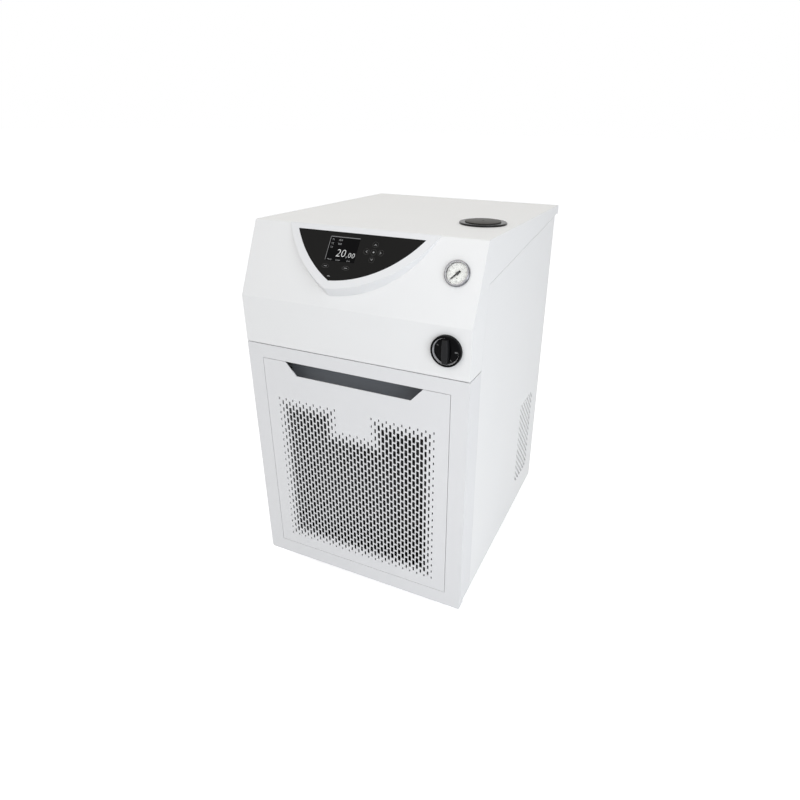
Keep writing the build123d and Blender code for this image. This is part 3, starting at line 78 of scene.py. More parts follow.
# %% [markdown]
# ## White surroundings
# The picture has a pure white background. One way is strong light on the floor, but that
# would also bleach the housing. Here the world is white only for rays that come straight
# from the camera, off glossy surfaces or through glass, and it lights the object at a
# plain level.

# %% Set the world
sky_colour = (0.945, 0.965, 1.0, 1.0)
sky_strength = 0.52
plain_white = (1.0, 1.0, 1.0, 1.0)


def link(tree, source, target):
    """Join an output socket to an input socket."""
    tree.links.new(source, target)


def put(node, socket, value):
    """Set the constant value of a node's input socket."""
    node.inputs[socket].default_value = value


def seen_directly(tree):
    """A value of 1 for camera, glossy and transmission rays."""
    path = tree.nodes.new("ShaderNodeLightPath")
    value = path.outputs["Is Camera Ray"]
    for ray in ("Is Glossy Ray", "Is Transmission Ray"):
        larger = tree.nodes.new("ShaderNodeMath")
        larger.operation = "MAXIMUM"
        link(tree, value, larger.inputs[0])
        link(tree, path.outputs[ray], larger.inputs[1])
        value = larger.outputs[0]
    return value


world = bpy.data.worlds.new("studio")
world.use_nodes = True
scene.world = world
tree = world.node_tree
tree.nodes.clear()
sky = tree.nodes.new("ShaderNodeBackground")
put(sky, "Color", sky_colour)
put(sky, "Strength", sky_strength)
white = tree.nodes.new("ShaderNodeBackground")
put(white, "Color", plain_white)
mix = tree.nodes.new("ShaderNodeMixShader")
link(tree, seen_directly(tree), mix.inputs[0])
link(tree, sky.outputs[0], mix.inputs[1])
link(tree, white.outputs[0], mix.inputs[2])
out = tree.nodes.new("ShaderNodeOutputWorld")
link(tree, mix.outputs[0], out.inputs[0])
scene.view_settings.view_transform = "Standard"
print("sky strength", sky_strength)

# %% [markdown]
# ## Lamps
# White sheet metal shows its folds only through small steps of light. Large soft lamps
# give each face its own level: the slope is the lightest, the front a little bluer, the
# top a little warmer, and the side falls off towards the rear.

# %% Place the lamps
# Each lamp: its place, what it points at, its size, its watts and its colour.
lamps = {
    "key": ((-0.4, -2.0, 2.2), (0.0, 0.0, 0.45), 1.6, 17.3, (1.0, 0.985, 0.96)),
    "side": ((1.20, -0.95, 0.75), (0.17, -0.22, 0.33), 0.9, 9.2, (0.91, 0.95, 1.0)),
    "top": ((-0.3, 0.6, 2.6), (0.0, 0.0, 0.5), 1.5, 9.5, (1.0, 0.93, 0.77)),
}
for name, (place, target, size, watts, colour) in lamps.items():
    lamp = bpy.data.lights.new("lamp_" + name, "AREA")
    lamp.size = size
    lamp.energy = watts
    lamp.color = colour
    holder = bpy.data.objects.new("lamp_" + name, lamp)
    holder.location = place
    aim = Vector(target) - Vector(place)
    holder.rotation_euler = aim.to_track_quat("-Z", "Y").to_euler()
    scene.collection.objects.link(holder)
print("lamps:", sorted(lamps))

# %% [markdown]
# ## Finishes
# Every finish is one Principled shader with a little noise in its colour, its gloss and
# its bump. The noise uses object coordinates, so its grain keeps its real size on every
# piece. Numbers that are the same all over a surface are set on the shader's own sockets.

# %% A helper for finishes
fine_detail = 3.0
patches = 9.0
tint_from, tint_to = 0.3, 0.7
smoothest, dullest = 0.02, 1.0
relief_depth = 0.0003


def finish(name, colour, roughness, metallic=0.0, grain=1500.0, bump=0.04, tint=0.02,
           spread=0.05, stretch=(1.0, 1.0, 1.0), specular=0.5):
    """A surface with noise in colour, gloss and bump; grain and patches are in waves per metre."""
    material = bpy.data.materials.new(name)
    material.use_nodes = True
    material.diffuse_color = (*colour, 1.0)
    tree = material.node_tree
    nodes = tree.nodes
    shader = nodes["Principled BSDF"]
    put(shader, "Metallic", metallic)
    put(shader, "Specular IOR Level", specular)
    place = nodes.new("ShaderNodeTexCoord")
    scale = nodes.new("ShaderNodeMapping")
    put(scale, "Scale", stretch)
    link(tree, place.outputs["Object"], scale.inputs["Vector"])
    fine = nodes.new("ShaderNodeTexNoise")
    put(fine, "Scale", grain)
    put(fine, "Detail", fine_detail)
    link(tree, scale.outputs[0], fine.inputs["Vector"])
    broad = nodes.new("ShaderNodeTexNoise")
    put(broad, "Scale", patches)
    link(tree, scale.outputs[0], broad.inputs["Vector"])
    ramp = nodes.new("ShaderNodeValToRGB")
    low, high = ramp.color_ramp.elements
    low.position, high.position = tint_from, tint_to
    low.color = (*[c * (1 - tint) for c in colour], 1.0)
    high.color = (*[min(c * (1 + tint), 1.0) for c in colour], 1.0)
    link(tree, broad.outputs["Fac"], ramp.inputs["Fac"])
    link(tree, ramp.outputs["Color"], shader.inputs["Base Color"])
    gloss = nodes.new("ShaderNodeMapRange")
    put(gloss, "To Min", max(roughness - spread, smoothest))
    put(gloss, "To Max", min(roughness + spread, dullest))
    link(tree, fine.outputs["Fac"], gloss.inputs["Value"])
    link(tree, gloss.outputs[0], shader.inputs["Roughness"])
    relief = nodes.new("ShaderNodeBump")
    put(relief, "Strength", bump)
    put(relief, "Distance", relief_depth)
    link(tree, fine.outputs["Fac"], relief.inputs["Height"])
    link(tree, relief.outputs[0], shader.inputs["Normal"])
    return material


# %% [markdown]
# ### Powder coat
# The housing is powder coated: the paint is baked from dry powder and flows out to a
# very fine orange peel. Short-wave noise in the bump, with little strength, gives just
# the broken highlight that tells paint from plastic.

# %% Paints
coat = finish("powder_coat_white", (0.80, 0.797, 0.79), 0.42, grain=1100.0, bump=0.05, tint=0.006)
frame_coat = finish("powder_coat_front", (0.73, 0.727, 0.73), 0.42, grain=1100.0, bump=0.05, tint=0.006)
rear_coat = finish("powder_coat_rear", (0.70, 0.705, 0.71), 0.45, grain=1100.0, bump=0.05, tint=0.008)
black_enamel = finish("black_enamel", (0.012, 0.012, 0.013), 0.35, grain=700.0, bump=0.06)
print("paints:", coat.name, frame_coat.name, rear_coat.name)

# %% [markdown]
# ### Bare metals
# Galvanised sheet has a faint mottled spangle, stainless steel has brush lines along one
# axis, and copper darkens unevenly. Stretching the noise in one axis turns grain to lines.

# %% Metals
# Each metal gives its name, its colour, its roughness and how metallic it is.
galvanised = finish("galvanised_sheet", (0.52, 0.53, 0.54), 0.42, 1.0, grain=160.0, bump=0.03, tint=0.12)
zinc = finish("zinc_plate", (0.58, 0.58, 0.57), 0.30, 1.0, grain=900.0, bump=0.05, tint=0.05)
stainless = finish("brushed_stainless", (0.62, 0.61, 0.60), 0.28, 1.0, grain=900.0, bump=0.06,
                   tint=0.03, spread=0.10, stretch=(1.0, 0.04, 1.0))
copper = finish("drawn_copper", (0.52, 0.26, 0.16), 0.34, 1.0, grain=260.0, bump=0.05, tint=0.15)
# The fins' colour is set near black, far darker than bare aluminium: painted shade for the dark inside of
# the machine behind the grille.
fin_shade_metal = finish("fin_aluminium_painted_shade", (0.105, 0.105, 0.103), 0.45, 0.7, grain=500.0, bump=0.05, tint=0.15)
cast_metal = finish("die_cast_metal", (0.40, 0.41, 0.42), 0.55, 1.0, grain=1600.0, bump=0.20)
brass = finish("turned_brass", (0.72, 0.52, 0.22), 0.25, 1.0, grain=1200.0, tint=0.06)
chrome = finish("satin_silver", (0.78, 0.78, 0.79), 0.30, 0.35, grain=900.0, bump=0.01, tint=0.01)
pearl = finish("pearl_chrome", (0.80, 0.80, 0.81), 0.35, 0.1, grain=900.0, bump=0.01, tint=0.01)
dark_chrome = finish("dark_chrome", (0.16, 0.16, 0.17), 0.22, 1.0, grain=900.0, bump=0.02, tint=0.04)
print("metals are ready")

# %% [markdown]
# ### Plastics, rubber and glass
# Moulded plastic gets its look from the spark-eroded grain of the tool. Rubber is darker
# and duller. The gauge glass lets light through and bends it little, because it stands
# for one thin pane.

# %% Plastics and rubber
neck_plastic = finish("neck_plastic", (0.003, 0.003, 0.003), 0.25, grain=2500.0, specular=0.25)
cap_plastic = finish("cap_plastic", (0.034, 0.032, 0.027), 0.50, grain=2600.0, bump=0.25, tint=0.06,
                     specular=0.25)
switch_plastic = finish("switch_plastic", (0.0012, 0.0012, 0.0016), 0.28, grain=2600.0, bump=0.05,
                        specular=0.06)
grip_plastic = finish("grip_plastic", (0.011, 0.011, 0.012), 0.45, grain=2600.0, bump=0.20, specular=0.15)
black_plastic = finish("black_plastic", (0.020, 0.020, 0.021), 0.50, grain=2200.0, bump=0.20)
bezel_plastic = finish("bezel_plastic", (0.76, 0.76, 0.765), 0.36, grain=2600.0, bump=0.06, tint=0.005)
foil_plastic = finish("key_foil", (0.0095, 0.0092, 0.0088), 0.55, grain=3500.0, bump=0.10, tint=0.03,
                      specular=0.06)
pane_plastic = finish("display_pane", (0.0012, 0.0012, 0.0014), 0.10, bump=0.0, specular=0.06)
lever_red = finish("dipped_red", (0.42, 0.02, 0.015), 0.35, bump=0.10)
tread_rubber = finish("tread_rubber", (0.055, 0.056, 0.058), 0.62, grain=1800.0, bump=0.25)
baffle_grey = finish("baffle_grey", (0.23, 0.24, 0.26), 0.50, grain=900.0, bump=0.05)
soft_rubber = finish("soft_rubber", (0.018, 0.018, 0.018), 0.70, bump=0.20)
board_green = finish("board_laminate", (0.015, 0.10, 0.035), 0.40, grain=900.0, bump=0.05)
dial_white = finish("dial_white", (0.80, 0.79, 0.76), 0.45, grain=2500.0, bump=0.02, tint=0.01)
needle_black = finish("needle_black", (0.010, 0.010, 0.010), 0.45, grain=2500.0, bump=0.05)
print("plastics are ready")

# %% Printing inks and glass
print_grain = 2500.0


def glowing(name, colour, strength):
    """A display's lit marks: a little light of their own over a plain surface."""
    material = finish(name, colour, 0.5, grain=print_grain, bump=0.0)
    shader = material.node_tree.nodes["Principled BSDF"]
    put(shader, "Emission Color", (*colour, 1.0))
    put(shader, "Emission Strength", strength)
    return material


def printing_ink(name, colour, roughness):
    """A dull ink with the fine grain of a print."""
    return finish(name, colour, roughness, grain=print_grain, bump=0.02)


digit_light = glowing("display_digits", (0.55, 0.55, 0.54), 0.45)
faint_light = glowing("display_rows", (0.20, 0.20, 0.20), 0.35)
frame_ink = printing_ink("pane_frame_ink", (0.16, 0.16, 0.16), 0.35)
key_ink = printing_ink("key_ink", (0.36, 0.36, 0.36), 0.55)
key_edge_ink = printing_ink("key_edge_ink", (0.045, 0.044, 0.043), 0.45)
dial_ink = printing_ink("dial_ink", (0.16, 0.16, 0.16), 0.55)
tick_ink = printing_ink("tick_ink", (0.12, 0.12, 0.12), 0.50)

glass = finish("gauge_glass", (0.97, 0.98, 0.98), 0.04, grain=500.0, bump=0.004, tint=0.005, spread=0.01)
glass_shader = glass.node_tree.nodes["Principled BSDF"]
put(glass_shader, "Transmission Weight", 1.0)
put(glass_shader, "IOR", 1.2)
print("inks and glass are ready")

# %% [markdown]
# ## Dressing the solids
# The solids keep their shape. On the sheet-metal parts a Weld modifier joins the split
# corners of the loaded meshes and a narrow Bevel rounds their edges, because no folded
# edge is sharp, and the thin highlight along it makes a fold read as metal.

# %% Helpers for the solids
crisp_angle = 32.0
weld_gap = 0.00001
round_steps, round_angle = 2, 38.0


def smooth_by_angle(mesh, angle=crisp_angle):
    """Shade smooth, but keep edges sharper than an angle crisp."""
    if "custom_normal" in mesh.attributes:
        mesh.attributes.remove(mesh.attributes["custom_normal"])
    mesh.polygons.foreach_set("use_smooth", [True] * len(mesh.polygons))
    mesh.set_sharp_from_angle(angle=radians(angle))


def dress(names, material, round_edge=0.0):
    """Give solids a finish and, where a radius is set, rounded edges."""
    for name in names.split():
        solid = solids[name]
        solid.data.materials.clear()
        solid.data.materials.append(material)
        smooth_by_angle(solid.data)
        if round_edge:
            weld = solid.modifiers.new("weld", "WELD")
            weld.merge_threshold = weld_gap
            bevel = solid.modifiers.new("bevel", "BEVEL")
            bevel.width = round_edge
            bevel.segments = round_steps
            bevel.limit_method = "ANGLE"
            bevel.angle_limit = radians(round_angle)
            bevel.harden_normals = True


# %% Dress the housing
hood_round, frame_round, fine_round = 0.0006, 0.0004, 0.0003
dress("hood", coat, hood_round)
dress("left_side_panel right_side_panel", coat, fine_round)
dress("front_frame", frame_coat, frame_round)
dress("rear_panel", rear_coat)
dress("base_pan bath_shelf fan_shroud fan_bracket", galvanised)
dress("control_bezel", bezel_plastic)
dress("key_foil", foil_plastic)
dress("display_pane", pane_plastic)
dress("control_board", board_green)
print("housing dressed")

# %% Dress the inside and the fittings
dress("castor_plates", zinc)
dress("brake_lever_front_left brake_lever_front_right drain_lever", lever_red, fine_round)
for name in solids:
    if name.startswith("castor_fork"):
        dress(name, zinc)
dress("condenser_headers filter_drier refrigerant_lines capillary_tube", copper)
dress("compressor pump_motor", black_enamel)
dress("compressor_grommets hoses", soft_rubber)
dress("fan_rotor switch_body socket_plate mains_inlet", black_plastic)
dress("fan_motor", cast_metal)
dress("tank tank_lid plate_evaporator pump_head overflow_spout", stainless)
dress("drain_valve", brass, fine_round)
dress("filler_neck", neck_plastic)
dress("gauge_case", dark_chrome)
dress("gauge_dial", dial_white)
dress("gauge_glass", glass)
dress("gauge_pointer", needle_black)
dress("switch_collar", switch_plastic)
print("fittings dressed")

# %% [markdown]
# ## Mesh helpers
# New pieces are made from points and faces. These helpers fill curves, join rings of
# points, make plates and turned parts, and put them on a plane of the machine.

# %% Make an object from points and faces
def new_piece(name, points, faces, material, body, slot, angle=crisp_angle):
    """An object from points and faces that rides on a body and takes a material; the slot argument is not
    used.
    """
    mesh = bpy.data.meshes.new(name)
    mesh.from_pydata([tuple(p) for p in points], [], faces)
    mesh.validate()
    work = bmesh.new()
    work.from_mesh(mesh)
    bmesh.ops.recalc_face_normals(work, faces=work.faces)
    work.to_mesh(mesh)
    work.free()
    mesh.materials.append(material)
    smooth_by_angle(mesh, angle)
    piece = bpy.data.objects.new(name, mesh)
    scene.collection.objects.link(piece)
    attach(piece, body)
    return piece


def joined(parts):
    """One list of points and one of faces from several such pairs."""
    points, faces = [], []
    for more_points, more_faces in parts:
        start = len(points)
        points += more_points
        faces += [[start + i for i in face] for face in more_faces]
    return points, faces


def placed(part, matrix):
    """A pair of points and faces, moved by a matrix."""
    points, faces = part
    return [matrix @ Vector(p) for p in points], faces


def meshed(curve, x, y, z):
    """Points and faces of a filled curve, moved by x, y and z."""
    holder = bpy.data.objects.new(curve.name, curve)
    mesh = bpy.data.meshes.new_from_object(holder)
    points = [(v.co.x + x, v.co.y + y, v.co.z + z) for v in mesh.vertices]
    faces = [list(p.vertices) for p in mesh.polygons]
    bpy.data.objects.remove(holder)
    bpy.data.meshes.remove(mesh)
    return points, faces


def skinned(rings, capped=True):
    """Rings of as many points each, joined in order, with or without a face over both ends."""
    around = len(rings[0])
    points = [point for ring in rings for point in ring]
    last = len(points) - around
    faces = []
    for start in range(0, last, around):
        for k in range(around):
            j = (k + 1) % around
            faces.append([start + k, start + j, start + around + j, start + around + k])
    if capped:
        faces += [list(range(around))[::-1], list(range(last, last + around))]
    return points, faces


def plate(outline, low, high):
    """A flat outline of (x, y) points made solid between two heights."""
    return skinned([[(x, y, z) for x, y in outline] for z in (low, high)])


def turned(profile, steps):
    """A closed profile of (radius, height) points turned round the z axis."""
    count = len(profile)
    points, faces = [], []
    for k in range(steps):
        angle = tau * k / steps
        points += [(r * cos(angle), r * sin(angle), z) for r, z in profile]
    for k in range(steps):
        here, there = k * count, (k + 1) % steps * count
        for i in range(count):
            j = (i + 1) % count
            faces.append([here + i, there + i, there + j, here + j])
    return points, faces


def circle(radius, steps, x=0.0, y=0.0):
    """Points round a circle."""
    return [(x + radius * cos(tau * k / steps), y + radius * sin(tau * k / steps)) for k in range(steps)]


def rectangle(left, right, low, high):
    """The four corners of a rectangle."""
    return [(left, low), (right, low), (right, high), (left, high)]


# %% Ways to lay a part down
# Each matrix takes a part drawn in (x, y), whose height runs along z, and turns that
# height towards the front, the rear or the right of the machine.
forward = Matrix(((1, 0, 0, 0), (0, 0, -1, 0), (0, 1, 0, 0), (0, 0, 0, 1)))
rearward = Matrix(((1, 0, 0, 0), (0, 0, 1, 0), (0, -1, 0, 0), (0, 0, 0, 1)))
sideways = Matrix(((0, 0, 1, 0), (1, 0, 0, 0), (0, 1, 0, 0), (0, 0, 0, 1)))
# A turned profile that is closed in the middle starts a hair from its axis.
axis = 0.00001
# How many steps go round a part that is seen closely, a plain one, a pipe and a screw.
close_turn, plain_turn, pipe_turn, screw_turn = 72, 64, 48, 24
print("the helpers are ready")

# %% [markdown]
# ## The front grille
# The real panel is punched on a turret press: some nine hundred short slots that shrink
# towards the rim and round a bare patch. Cutting them one by one with booleans would be
# slow. Here each slot is a closed loop of one flat curve, whose fill gives the whole
# plate in one step.

# %% Sizes of the grille
grille_low, grille_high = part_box("front_grille")
metal, web_metal = 0.0015, 0.0011
pitch, row_step, columns = 0.00605, 0.006, 43
rows_from_top = 0.0617
first_row = grille_high.z - rows_from_top
slot_sizes = [(0.0020, 0.0042), (0.0027, 0.0070), (0.0036, 0.0091), (0.0048, 0.0102)]
slot_round, corner_steps = 0.3, 3
bare_left, bare_right, bare_rows = 16, 26, 6
grip_top, grip_bottom, grip_drop = 0.110, 0.092, 0.0197
grip_sides = (3, 4, 5)


def slot_rank(column, row):
    """How far a slot lies from the rim or the bare patch, or below 0 inside the patch."""
    last = columns - 1
    beside = max(bare_left - column, column - bare_right, row - bare_rows)
    return min(column, last - column, row, last - row, beside)


def slot_outline(x, z, width, length):
    """A slot with softened corners, anticlockwise from the right."""
    radius = width * slot_round
    points = []
    for turn, (sx, sz) in enumerate(((1, 1), (-1, 1), (-1, -1), (1, -1))):
        corner_x = x + sx * (width / 2 - radius)
        corner_z = z + sz * (length / 2 - radius)
        for k in range(corner_steps + 1):
            angle = pi / 2 * (turn + k / corner_steps)
            points.append((corner_x + radius * cos(angle), corner_z + radius * sin(angle)))
    return points


slots = []
for column in range(columns):
    for row in range(column % 2, columns, 2):
        rank = slot_rank(column, row)
        if rank >= 0:
            width, length = slot_sizes[min(rank, len(slot_sizes) - 1)]
            x = (column - (columns - 1) / 2) * pitch
            slots.append(slot_outline(x, first_row - row * row_step, width, length))
print("slots in the grille:", len(slots))

# %% Punch the plate and fold its edges
left, right, bottom, top = grille_low.x, grille_high.x, grille_low.z, grille_high.z
grille_outline = [
    (left, bottom), (right, bottom), (right, top), (grip_top, top), (grip_bottom, top - grip_drop),
    (-grip_bottom, top - grip_drop), (-grip_top, top), (left, top),
]


def shrunk(outline, distance):
    """An outline moved inwards by a distance, corners kept sharp; it runs anticlockwise."""
    points = [Vector(p) for p in outline]
    result = []
    for i, here in enumerate(points):
        before = (here - points[i - 1]).normalized()
        after = (points[(i + 1) % len(points)] - here).normalized()
        normal = Vector((-before.y - after.y, before.x + after.x))
        result.append(here + normal * (distance / (1 + before.dot(after))))
    return [tuple(p) for p in result]


def punched_plate(outline, holes, thickness):
    """Points and faces of a plate in (x, y) with holes, its front at height 0."""
    curve = bpy.data.curves.new("punching", "CURVE")
    curve.dimensions = "2D"
    curve.fill_mode = "BOTH"
    curve.extrude = thickness / 2
    for loop in [outline, *holes]:
        spline = curve.splines.new("POLY")
        spline.points.add(len(loop) - 1)
        for point, (x, y) in zip(spline.points, loop):
            point.co = (x, y, 0.0, 1.0)
        spline.use_cyclic_u = True
    return meshed(curve, 0.0, 0.0, -thickness / 2)


def edge_folds(outline, thickness, depth, without):
    """Walls behind a plate along its outline, but none along the sides listed in without."""
    inner = shrunk(outline, thickness)
    walls = []
    for i in range(len(outline)):
        j = (i + 1) % len(outline)
        if i not in without:
            walls.append(plate([outline[i], outline[j], inner[j], inner[i]], -depth, -thickness))
    return joined(walls)


grille_seat = Matrix.Translation((0, grille_low.y, 0)) @ forward
fold_depth = grille_high.y - grille_low.y
grille_parts = [punched_plate(grille_outline, slots, web_metal),
                edge_folds(grille_outline, web_metal, fold_depth, grip_sides)]
grille = new_piece("front_grille_punched", *placed(joined(grille_parts), grille_seat), frame_coat,
                   "front_grille", "frame_coat")
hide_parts("front_grille")
print("grille faces:", len(grille.data.polygons))

# %% [markdown]
# ## The condenser behind the grille
# Through the slots one sees thin aluminium fins and the copper tubes that run across
# them. The plain solid has grooves only. Here each fin is a real thin sheet. A baffle
# in front of the fins closes the view through the grip recess.

# %% Fins, tubes and end plates
cond_low, cond_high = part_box("condenser")
fin_step, fin_sheet, end_sheet = 0.0024, 0.0003, 0.0015
fins_from_front, fins_from_rear, fins_from_ends = 0.003, 0.005, 0.004
tube_radius, tube_rows, tube_steps = 0.004, 11, 16
near_tubes, far_tubes = 0.010, 0.022


def block(x, y, z):
    """Points and faces of a block from three (low, high) pairs."""
    return plate(rectangle(*x, *y), *z)


fin_front, fin_rear = cond_low.y + fins_from_front, cond_high.y - fins_from_rear
fin_levels = (cond_low.z + fins_from_ends, cond_high.z - fins_from_ends)
fin_parts = []
fins = int((cond_high.x - cond_low.x - 2 * end_sheet) / fin_step)
for i in range(1, fins):
    x = cond_low.x + end_sheet + i * fin_step
    fin_parts.append(block((x, x + fin_sheet), (fin_front, fin_rear), fin_levels))
for x in (cond_low.x, cond_high.x - end_sheet):
    fin_parts.append(block((x, x + end_sheet), (cond_low.y, cond_high.y), (cond_low.z, cond_high.z)))
# The fins carry the near-black painted shade, so the grille slots read dark.
fin_pack = new_piece("condenser_fins", *joined(fin_parts), fin_shade_metal, "housing", "fins")
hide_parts("condenser")

tube_parts = []
for row in range(tube_rows):
    z = cond_low.z + (cond_high.z - cond_low.z) * (row + 0.5) / tube_rows
    y = fin_front + (near_tubes if row % 2 else far_tubes)
    tube = plate(circle(tube_radius, tube_steps), cond_low.x, cond_high.x)
    tube_parts.append(placed(tube, Matrix.Translation((0, y, z)) @ sideways))
new_piece("condenser_tubes", *joined(tube_parts), copper, "housing", "copper")
print("fins:", fins, "tubes:", tube_rows)

# %% Baffle over the condenser
baffle_drop, baffle_gap, baffle_margin = 0.050, 0.0005, 0.010
baffle_sheet, baffle_lip, baffle_clearance = 0.001, 0.006, 0.004
baffle_low, baffle_high = grille_high.z - baffle_drop, grille_high.z - baffle_gap
baffle_front = cond_low.y - baffle_clearance
baffle_width = (-grip_top - baffle_margin, grip_top + baffle_margin)
baffle = block(baffle_width, (baffle_front, baffle_front + baffle_sheet), (baffle_low, baffle_high))
lip = block(baffle_width, (baffle_front - baffle_lip, baffle_front), (baffle_low, baffle_low + baffle_sheet))
new_piece("condenser_baffle", *joined([baffle, lip]), baffle_grey, "housing", "galvanised")
print("baffle front:", round(baffle_front, 4))

# %% [markdown]
# ## Louvres in the side panel
# The slanting slots near the rear of the side panel are louvres. Beside each slot a
# tongue of the sheet is pressed inwards, so from the front one looks on white metal and
# not into the machine. Cutting and bending the panel's own mesh is not needed: a sloping
# blade that starts on the upper edge of each slot gives the same look.

# %% Press the louvres
panel_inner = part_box("right_side_panel")[1].x - metal
vent_from_front, vent_bottom, vent_length, vent_height = 0.2794, 0.097, 0.0795, 0.164
vent_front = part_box("hood")[0].y + vent_from_front
louvre_step, louvre_width, louvre_reach = 0.0119, 0.0045, 0.0050
blade_sheet, blade_overlap = 0.0008, 0.0004
# The slots climb at 45 degrees, so this share of a length runs along and up.
slant = 0.5 ** 0.5
# The corners of a blade's section, as distances inwards and across the slot.
blade_section = ((-blade_overlap, 0.0), (-blade_overlap, blade_sheet),
                 (louvre_reach, blade_sheet - louvre_width), (louvre_reach, -louvre_width))


def louvre_blade(ends):
    """A blade between two (along, up) places on a slot's upper edge, sloping inwards and down."""
    rings = []
    for along, up in ends:
        rings.append([(panel_inner - inward, vent_front + along + across * slant,
                       vent_bottom + up + across * slant) for inward, across in blade_section])
    return skinned(rings)


blades = []
level = vent_height + vent_length - louvre_step
while level > louvre_step:
    start, end = max(0.0, level - vent_height), min(vent_length, level)
    blades.append(louvre_blade(((start, level - start), (end, level - end))))
    level -= louvre_step
new_piece("side_louvres", *joined(blades), coat, "housing", "housing_coat")
print("louvres:", len(blades))

# %% [markdown]
# ## Prints on the control face
# The key foil is printed from behind: cursor arrows, two oval soft keys and a small sign,
# and the display shows a reading and a few rows. Each print is a very thin raised plate
# laid on its solid's plane, so it is real geometry and stays sharp at any distance.

# %% Find the plane of a flat solid
leaning, same_plane = 0.1, 0.0001


def front_plane_of(node):
    """A matrix on the largest face that looks forward: x right, y up the face, z out of it."""
    mesh = solids[node].data
    facing = [p for p in mesh.polygons if p.normal.y < -leaning and p.normal.z > leaning]
    largest = max(facing, key=lambda p: p.area)
    normal = largest.normal.normalized()
    across = Vector((1, 0, 0))
    up = normal.cross(across)
    heights = [v.co for v in mesh.vertices if abs((v.co - largest.center).dot(normal)) < same_plane]
    origin = max(heights, key=lambda co: co.dot(up)).copy()
    origin.x = 0.0
    turn = Matrix((across, up, normal)).transposed().to_4x4()
    return Matrix.Translation(origin) @ turn


foil_plane = front_plane_of("key_foil")
pane_plane = front_plane_of("display_pane")
print("foil plane leans", round(degrees(acos(foil_plane.col[2].z)), 1), "degrees from the floor")

# %% Strokes, digits and marks
ink = 0.00008
letter_steps = 3


def stroke(points, width):
    """A line of even width through (x, y) points, as the outlines of a row of small plates."""
    outlines = []
    for (ax, ay), (bx, by) in zip(points, points[1:]):
        run = hypot(bx - ax, by - ay)
        ux, uy = (bx - ax) / run * width / 2, (by - ay) / run * width / 2
        outlines.append([(ax - ux + uy, ay - uy - ux), (bx + ux + uy, by + uy - ux),
                         (bx + ux - uy, by + uy + ux), (ax - ux - uy, ay - uy + ux)])
    return outlines


def tick(angle, inner, outer, width):
    """A short stroke that points away from the middle, at an angle in degrees."""
    a = radians(angle)
    return stroke([(inner * cos(a), inner * sin(a)), (outer * cos(a), outer * sin(a))], width)


def oval(x, y, half_length, half_height, width, steps=28):
    """A flat oval ring as short strokes."""
    points = []
    for k in range(steps + 1):
        angle = tau * k / steps
        points.append((x + half_length * cos(angle), y + half_height * sin(angle)))
    return stroke(points, width)


def written(text, size, x, y, align="LEFT", thin=0.0, lean=0.0, space=1.0):
    """Points and faces of flat characters, thinned or leaning, ready to be laid on a plane."""
    curve = bpy.data.curves.new("writing", "FONT")
    curve.body = text
    curve.size = size
    curve.align_x = align
    curve.offset = -thin
    curve.shear = lean
    curve.space_character = space
    curve.extrude = ink / 2
    curve.resolution_u = letter_steps
    return meshed(curve, x, y, ink / 2)


def printed(name, outlines, plane, material, body, slot, extra=(), lift=0.0):
    """One print made of many flat outlines and characters on a plane."""
    parts = [plate(outline, 0.0, ink) for outline in outlines] + list(extra)
    lay = plane @ Matrix.Translation((0, 0, lift))
    return new_piece(name, *placed(joined(parts), lay), material, body, slot)


# %% Cursor keys, soft keys and the corner sign
foil_top = 0.008
cursor_x, cursor_down, cursor_reach = 0.0255, 0.0314, 0.0105
arrow, arrow_line, middle_dot = 0.0014, 0.00045, 0.0011
key_radius, key_line, edge_lift = 0.0040, 0.0002, 0.00002
soft_keys = ((-0.0395, 0.0572), (-0.0085, 0.0572))
soft_half, soft_tall, soft_line = 0.0052, 0.0027, 0.0003
dash_half, dash_line = 0.0022, 0.0003
sign_x, sign_down, sign_step, sign_rise, sign_dot = -0.0305, 0.0707, 0.0014, 0.0005, 0.0006
dot_steps, sign_steps = 16, 10
four_ways = ((0, 1), (0, -1), (1, 0), (-1, 0))


def down(distance):
    """Height on the foil's plane of a distance down the face from the top of the slope."""
    return foil_top - distance


def cursor_key(dx, dy):
    """The middle of one cursor key on the foil's plane."""
    return cursor_x + dx * cursor_reach, down(cursor_down) + dy * cursor_reach


arrows, edges = [], []
for dx, dy in four_ways:
    tip_x, tip_y = cursor_key(dx, dy)
    wings = [(tip_x - dx * arrow + side * dy * arrow, tip_y - dy * arrow + side * dx * arrow)
             for side in (-1, 1)]
    arrows += stroke([wings[0], (tip_x + dx * arrow / 2, tip_y + dy * arrow / 2), wings[1]], arrow_line)
arrows.append(circle(middle_dot, dot_steps, *cursor_key(0, 0)))
for x, distance in soft_keys:
    y = down(distance)
    arrows.append(rectangle(x - dash_half, x + dash_half, y - dash_line, y + dash_line))
    edges += oval(x, y, soft_half, soft_tall, soft_line)
for k, rise in ((-1, 0.0), (0, sign_rise), (1, 0.0)):
    arrows.append(circle(sign_dot, sign_steps, sign_x + k * sign_step, down(sign_down) + rise))
for way in (*four_ways, (0, 0)):
    edges += oval(*cursor_key(*way), key_radius, key_radius, key_line)
printed("foil_key_signs", arrows, foil_plane, key_ink, "housing", "key_foil")
printed("foil_key_edges", edges, foil_plane, key_edge_ink, "housing", "key_foil", lift=edge_lift)
print("key prints laid on the foil")

# %% Marks on the display
pane_low, pane_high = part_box("display_pane")
digit_base, digit_lean = -0.0282, 0.12
# Each group of digits: its text, size, distance from the left, thinning and spacing.
digit_groups = (("20", 0.0152, 0.0140, 0.0003, 1.0), (",00", 0.0098, 0.0300, 0.00015, 1.12))
digits = []
for text, size, start, thin, space in digit_groups:
    digits.append(written(text, size, pane_low.x + start, digit_base, "LEFT", thin, digit_lean, space))
printed("display_reading", [], pane_plane, digit_light, "housing", "display_black", extra=digits)

